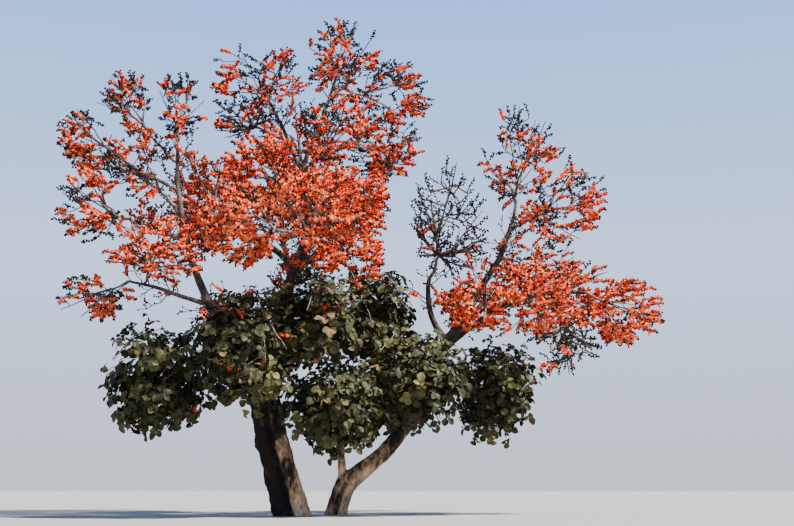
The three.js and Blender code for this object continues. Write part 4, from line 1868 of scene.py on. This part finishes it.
@dataclass
class BlossomWork:
    """The flowers, their calyces and the dark buds.

    A size, a stalk or a shift is drawn from its least to its most. Flowers look forward and upward by
    these amounts, scattered a little. The first on a twig are larger, and later ones smaller. Clumps of
    twigs bloom together, low ones sooner. The tints have their shares, and some flowers another tint
    than their twig's. In a mass of leaves, twigs have buds only above a height.
    """

    crown: Crown
    chance: np.random.Generator
    side_twigs: tuple[Array, Array]
    forks_in_bloom: float = 0.3
    flowers: int = 10
    flowers_along: Pair = (0.1, 0.85)
    flower_shift: Pair = (-0.03, 0.03)
    flower_size: Pair = (0.066, 0.094)
    flower_stalk: Pair = (0.008, 0.03)
    forward: float = 0.35
    upward: float = 0.8
    scatter: float = 0.22
    first_larger: float = 1.1
    later_smaller: float = 0.35
    shares_of_tints: tuple[float, ...] = (0.22, 0.28, 0.28, 0.22)
    other_tint: float = 0.25
    calyces_seen: float = 0.75
    calyx_back: float = 0.014
    calyx_size: float = 0.45
    bud_size: Pair = (0.037, 0.062)
    bud_shift: Pair = (-0.02, 0.02)
    bud_forward: float = 0.9
    on_blooming: tuple[BudRow, ...] = (BudRow(3, 0.85),)
    on_budding: tuple[BudRow, ...] = (BudRow(8, 0.45), BudRow(1, 0.2))
    on_bare: tuple[BudRow, ...] = (BudRow(7, 0.4),)
    on_side_twigs: tuple[BudRow, ...] = (BudRow(3, 0.6),)
    on_forks: tuple[BudRow, ...] = (BudRow(4, 0.5),)
    clump: float = 0.42
    low: float = 0.22
    at_random: float = 0.25
    budding_above: float = 0.5

    def rise(self, mass: Mass, spray: Spray) -> float:
        """Returns how high a spray stands in its mass, 0 in the middle and about 1 at the top."""
        return float((spray.centre[2] - mass.centre[2]) / mass.reach[2])

    def in_bloom(self, mass: Mass) -> list[bool]:
        """Tells which fine sprays of a mass bloom.

        Args:
            mass: The mass, with its share in bloom.

        Returns:
            True or False for each of its fine sprays.
        """
        rise = [self.rise(mass, spray) for spray in mass.fine]
        clumps = [noise.noise(Vector(spray.centre) / self.clump) for spray in mass.fine]
        scores = np.array(clumps) - self.low * np.array(rise)
        scores = scores + self.at_random * self.chance.random(len(rise))
        limit = np.quantile(scores, 1 - mass.bloom) if mass.bloom > 0 else np.inf
        return [score >= limit for score in scores]

    def heaps(self) -> tuple[list[Heap], Heap, Heap]:
        """Builds the flowers and buds.

        Returns:
            The flowers by tint, the calyces, and the buds.
        """
        blooming, budding, bare = self._sorted()
        twigs, forks = self.side_twigs
        late = self.chance.random(len(forks)) < self.forks_in_bloom
        tints = [Heap() for _ in BLOSSOM_FINISHES]
        calyces, buds = Heap(), Heap()
        for paths in (blooming, forks[late]):
            self._add_flowers(tints, calyces, paths)
        for paths, rows in (
            (blooming, self.on_blooming),
            (budding, self.on_budding),
            (bare, self.on_bare),
            (twigs, self.on_side_twigs),
            (forks[~late], self.on_forks),
        ):
            for row in rows:
                self._add_buds(buds, paths, row)
        return tints, calyces, buds

    def _sorted(self) -> tuple[Array, Array, Array]:
        """Sorts the fine sprays by what they carry.

        Returns:
            The lines of those that bloom, of those that have buds, and of those of bare masses.
        """
        blooming, budding, bare = [], [], []
        for mass in self.crown.masses:
            for spray, bloom in zip(mass.fine, self.in_bloom(mass), strict=True):
                if bloom:
                    blooming.append(spray.line)
                elif mass.kind is Kind.BARE:
                    bare.append(spray.line)
                elif mass.kind is Kind.BLOOM or self.rise(mass, spray) > self.budding_above:
                    budding.append(spray.line)
        return np.array(blooming), np.array(budding), np.array(bare)

    def _add_flowers(self, tints: list[Heap], calyces: Heap, paths: Array) -> None:
        """Adds the flowers of blooming twigs, each with its calyx.

        Args:
            tints: A heap for each tint of flower.
            calyces: Where the calyces go.
            paths: The twigs' lines.
        """
        shift = self.chance.uniform(*self.flower_shift, (len(paths), self.flowers))
        shares = np.linspace(*self.flowers_along, self.flowers) + shift
        places, ahead, out = spiral(paths, shares, self.chance)
        scatter = self.chance.normal(0, self.scatter, out.shape)
        look = unit(out + self.forward * ahead + self.upward * UP + scatter)
        sizes = self.chance.uniform(*self.flower_size, shares.shape)
        sizes = sizes * (self.first_larger - self.later_smaller * shares)
        stalks = places + look * self.chance.uniform(*self.flower_stalk, shares.shape)[..., None]
        tint = self.chance.choice(len(tints), (len(paths), 1), p=self.shares_of_tints)
        other = self.chance.random(shares.shape) < self.other_tint
        tint = np.where(other, self.chance.integers(0, len(tints), shares.shape), tint)
        axes = axes_for(look, unit(ahead + UP))
        flower, calyx = FlowerShape().make(), CALYX_SHAPE.make()
        for number, heap in enumerate(tints):
            own = tint == number
            heap.add_copies(flower, stalks[own], axes[own], sizes[own])
        seen = self.chance.random(shares.shape) < self.calyces_seen
        back = stalks - look * self.calyx_back
        calyces.add_copies(calyx, back[seen], axes[seen], sizes[seen] * self.calyx_size)

    def _add_buds(self, heap: Heap, paths: Array, row: BudRow) -> None:
        """Adds dark buds along twigs, as far as their tips where there are several.

        Args:
            heap: Where they go.
            paths: The twigs' lines.
            row: How many, and from where.
        """
        end = 1.0 if row.count > 1 else row.start
        shift = self.chance.uniform(*self.bud_shift, (len(paths), row.count))
        places, ahead, out = spiral(paths, np.linspace(row.start, end, row.count) + shift, self.chance)
        look = unit(out + self.bud_forward * ahead)
        sizes = self.chance.uniform(*self.bud_size, shift.shape)
        axes = axes_for(look, UP + OFF_LINE)
        heap.add_copies(BudShape().make(), places.reshape(-1, 3), axes.reshape(-1, 3, 3), sizes.ravel())


@dataclass
class LeafWork:
    """The leaves, of three leaflets each, on their stalks.

    A shift, a stalk or a leaflet is drawn from its least to its most. Stalks look forward and upward
    by these amounts and hang a little. Leaflets face out of the mass and up, and point the stalk's way
    and down, scattered a little. High in a mass leaves are fewer and smaller.
    """

    crown: Crown
    chance: np.random.Generator
    leaves: int = 5
    leaves_along: Pair = (0.05, 1.0)
    shift: Pair = (-0.05, 0.1)
    stalk: Pair = (0.08, 0.15)
    stalk_forward: float = 0.5
    stalk_upward: float = 0.2
    stalk_hang: float = 0.1
    stalk_steps: int = 3
    stalk_bend: float = 0.02
    stalk_lift: float = 0.1
    stalk_radius: float = 0.003
    stalk_sides: int = 3
    leaflet: Pair = (0.095, 0.148)
    face_out: float = 0.9
    face_up: float = 0.75
    face_scatter: float = 0.45
    point_ahead: float = 0.8
    point_down: float = 0.4
    point_scatter: float = 0.25
    middle_ahead: float = 0.04
    side_turn: float = 1.25
    side_size: float = 0.88
    tilt: float = 0.3
    bent: float = 0.4
    shares_of_tints: tuple[float, ...] = (0.5, 0.32, 0.12, 0.06)
    darkest_instead: float = 0.3
    bare_above: float = 0.2
    smaller_above: float = 0.3

    def heaps(self) -> tuple[list[Heap], Heap]:
        """Builds the leaves.

        Returns:
            The leaflets by tint, and the stalks.
        """
        masses = [mass for mass in self.crown.masses if mass.kind is Kind.LEAF]
        sprays = [(mass, spray) for mass in masses for spray in mass.fine]
        paths = np.array([spray.line for _, spray in sprays])
        centres = np.array([mass.centre for mass, _ in sprays])
        shift = self.chance.uniform(*self.shift, (len(sprays), self.leaves))
        shares = np.linspace(*self.leaves_along, self.leaves) + shift
        places, ahead, out = spiral(paths, shares, self.chance)
        look = unit(out + self.stalk_forward * ahead + self.stalk_upward * UP)
        stalk = self.chance.uniform(*self.stalk, shares.shape)[..., None]
        joints = places + look * stalk + UP * -self.stalk_hang * stalk
        reaches = np.array([mass.reach[2] for mass, _ in sprays])
        rise = np.clip((places[..., 2] - centres[:, None, 2]) / reaches[:, None], 0, 1)
        kept = self.chance.random(shares.shape) > self.bare_above * rise
        stalks = Heap()
        lines = crooked(
            places[kept], joints[kept], self.stalk_steps, self.stalk_bend, self.stalk_lift, self.chance
        )
        add_tubes(stalks, lines, np.full(lines.shape[:2], self.stalk_radius), self.stalk_sides)
        return self._leaflets(joints, look, unit(places - centres[:, None]), rise, kept), stalks

    def _leaflets(
        self, joints: Array, look: Array, outward: Array, rise: Array, kept: Array
    ) -> list[Heap]:
        """Puts three leaflets on each stalk.

        Args:
            joints: The stalks' ends.
            look: The stalks' directions.
            outward: The way out of the mass at each stalk.
            rise: How high in its mass each stalk stands, 0 to 1.
            kept: Which of the stalks are there.

        Returns:
            A heap for each tint.
        """
        scatter = self.chance.normal(0, self.face_scatter, outward.shape)
        face = unit(self.face_out * outward + self.face_up * UP + scatter)
        scatter = self.chance.normal(0, self.point_scatter, look.shape)
        forward = unit(look * self.point_ahead - self.point_down * UP + scatter)
        forward = unit(forward - face * (forward * face).sum(-1, keepdims=True))
        tint = self.chance.choice(len(LEAF_FINISHES), (len(rise), 1), p=self.shares_of_tints)
        darkest = self.chance.random(rise.shape) < self.darkest_instead
        tint = np.where(darkest, 0, np.broadcast_to(tint, rise.shape))
        sideways = np.cross(face, forward)
        heaps = [Heap() for _ in LEAF_FINISHES]
        shapes = [LeafletShape().make(), BENT_LEAFLET.make()]
        for turn in (0.0, self.side_turn, -self.side_turn):
            ahead = forward * math.cos(turn) + sideways * math.sin(turn)
            tilted = unit(face + self.chance.normal(0, self.tilt, face.shape))
            starts = joints + forward * (0.0 if turn else self.middle_ahead)
            sizes = self.chance.uniform(*self.leaflet, rise.shape) * (self.side_size if turn else 1.0)
            sizes *= 1 - self.smaller_above * rise
            axes = axes_for(ahead, tilted)
            bent = self.chance.random(rise.shape) < self.bent
            for number, heap in enumerate(heaps):
                for which, shape in enumerate(shapes):
                    own = kept & (tint == number) & (bent == bool(which))
                    heap.add_copies(shape, starts[own], axes[own], sizes[own])
        return heaps


@dataclass
class Studio:
    """The plain floor, the light and the camera.

    The camera's focal length counts in pixels of a picture so many pixels wide. Angles are degrees. The
    sky's stops are its colours by the height that one looks at, 0 at the horizon and 1 overhead.
    """

    width_px: float = 794.0
    focal_px: float = 1103.0
    sensor: float = 36.0
    eye: Point = (1.773, -18.75, 0.44)
    tilt: float = 11.58
    floor_size: float = 400.0
    floor_color: Color = (0.30, 0.29, 0.275)
    floor_roughness: float = 0.9
    sky_stops: Stops = (
        (0.0, (0.86, 0.92, 1.05)),
        (0.2, (0.88, 1.12, 1.58)),
        (0.42, (0.44, 0.82, 1.68)),
        (0.58, (0.13, 0.22, 0.40)),
    )
    sun_strength: float = 16.0
    sun_color: Color = (1.0, 0.96, 0.9)
    sun_turn: float = 62.0
    sun_height: float = 50.0
    sun_softness: float = 5.0

    def make(self) -> None:
        """Sets up all of it."""
        self._camera()
        self._floor()
        self._sun()
        self._sky()

    def _camera(self) -> None:
        """Places the camera as the photograph's was."""
        data = bpy.data.cameras.new("camera")
        data.sensor_width = self.sensor
        data.lens = self.focal_px / self.width_px * self.sensor
        data.clip_end = self.floor_size
        camera = placed("camera", data)
        camera.location = self.eye
        camera.rotation_euler = (math.radians(90 + self.tilt), 0.0, 0.0)
        bpy.context.scene.camera = camera

    def _floor(self) -> None:
        """Lays the floor at ground level."""
        mesh = bmesh.new()
        bmesh.ops.create_grid(mesh, x_segments=1, y_segments=1, size=self.floor_size / 2)
        sheet = NodeSheet("floor")
        sheet.shader.inputs["Base Color"].default_value = (*self.floor_color, 1.0)
        sheet.shader.inputs["Roughness"].default_value = self.floor_roughness
        floor = object_from("floor", mesh, sheet.material)

    def _sun(self) -> None:
        """Adds the sun, from the right and the front."""
        data = bpy.data.lights.new("sun", "SUN")
        data.energy = self.sun_strength
        data.angle = math.radians(self.sun_softness)
        data.color = self.sun_color
        sun = placed("sun", data)
        sun.rotation_euler = (math.radians(90 - self.sun_height), 0.0, math.radians(self.sun_turn))

    def _sky(self) -> None:
        """Gives the world a soft sky, whose colour depends on the height alone."""
        world = bpy.data.worlds.new("sky")
        world.use_nodes = True
        tree = world.node_tree
        way = tree.nodes.new("ShaderNodeTexCoord")
        height = tree.nodes.new("ShaderNodeSeparateXYZ")
        ramp = tree.nodes.new("ShaderNodeValToRGB")
        tree.links.new(way.outputs["Generated"], height.inputs[0])
        tree.links.new(height.outputs["Z"], ramp.inputs["Fac"])
        tree.links.new(ramp.outputs["Color"], tree.nodes["Background"].inputs["Color"])
        fill_ramp(ramp, self.sky_stops)
        bpy.context.scene.world = world


def settle(piece: bpy.types.Object, nodes: list[str]) -> None:
    """Fixes a finished piece to the tree's body.

    Args:
        piece: The piece.
        nodes: The solids that it stands for.
    """
    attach(piece, "root")
    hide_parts(*nodes)


def main() -> None:
    """Builds the tree, piece by piece."""
    logging.basicConfig(level=logging.INFO, format="%(message)s")
    Studio().make()
    crown = Crown()
    crown.grow_all()
    masses = {kind: [mass.name for mass in crown.masses if mass.kind is kind] for kind in Kind}
    every_mass = [mass.name for mass in crown.masses]

    skin = BarkSkin(crown)
    boughs = [name for name in crown.limbs if name not in TRUNK_LIMBS]
    for name, limbs, bark in (
        ("bark_of_trunks", TRUNK_LIMBS, TRUNK_BARK),
        ("bark_of_boughs", boughs, BOUGH_BARK),
    ):
        settle(skin.piece(name, limbs, bark.material()), limbs)

    twigs = TWIG_FINISH.material()
    side_twigs = SideTwigs(crown, np.random.default_rng(SIDE_SEED)).paths()
    main_twigs, fine_twigs = TwigWork(crown, np.random.default_rng(TWIG_SEED), *side_twigs).heaps()
    stout = main_twigs.piece("main_twigs", MAIN_TWIG_FINISH.material(), rounded=True)
    settle(stout, every_mass)
    settle(fine_twigs.piece("fine_twigs", twigs, rounded=True), every_mass)

    tints, calyces, buds = BlossomWork(crown, np.random.default_rng(BLOSSOM_SEED), side_twigs).heaps()
    for heap, finish in zip(tints, BLOSSOM_FINISHES, strict=True):
        flowers = heap.piece(finish.name, finish.material(), rounded=False)
        settle(flowers, masses[Kind.BLOOM])
    dark = BUD_FINISH.material()
    settle(calyces.piece("calyces", dark, rounded=True), masses[Kind.BLOOM])
    with_buds = masses[Kind.BLOOM] + masses[Kind.BARE]
    settle(buds.piece("buds", dark, rounded=True), with_buds)

    leaves, stalks = LeafWork(crown, np.random.default_rng(LEAF_SEED)).heaps()
    for heap, finish in zip(leaves, LEAF_FINISHES, strict=True):
        leaflets = heap.piece(finish.name, finish.material(), rounded=False)
        settle(leaflets, masses[Kind.LEAF])
    settle(stalks.piece("leaf_stalks", twigs, rounded=True), masses[Kind.LEAF])


if __name__ == "__main__":
    main()
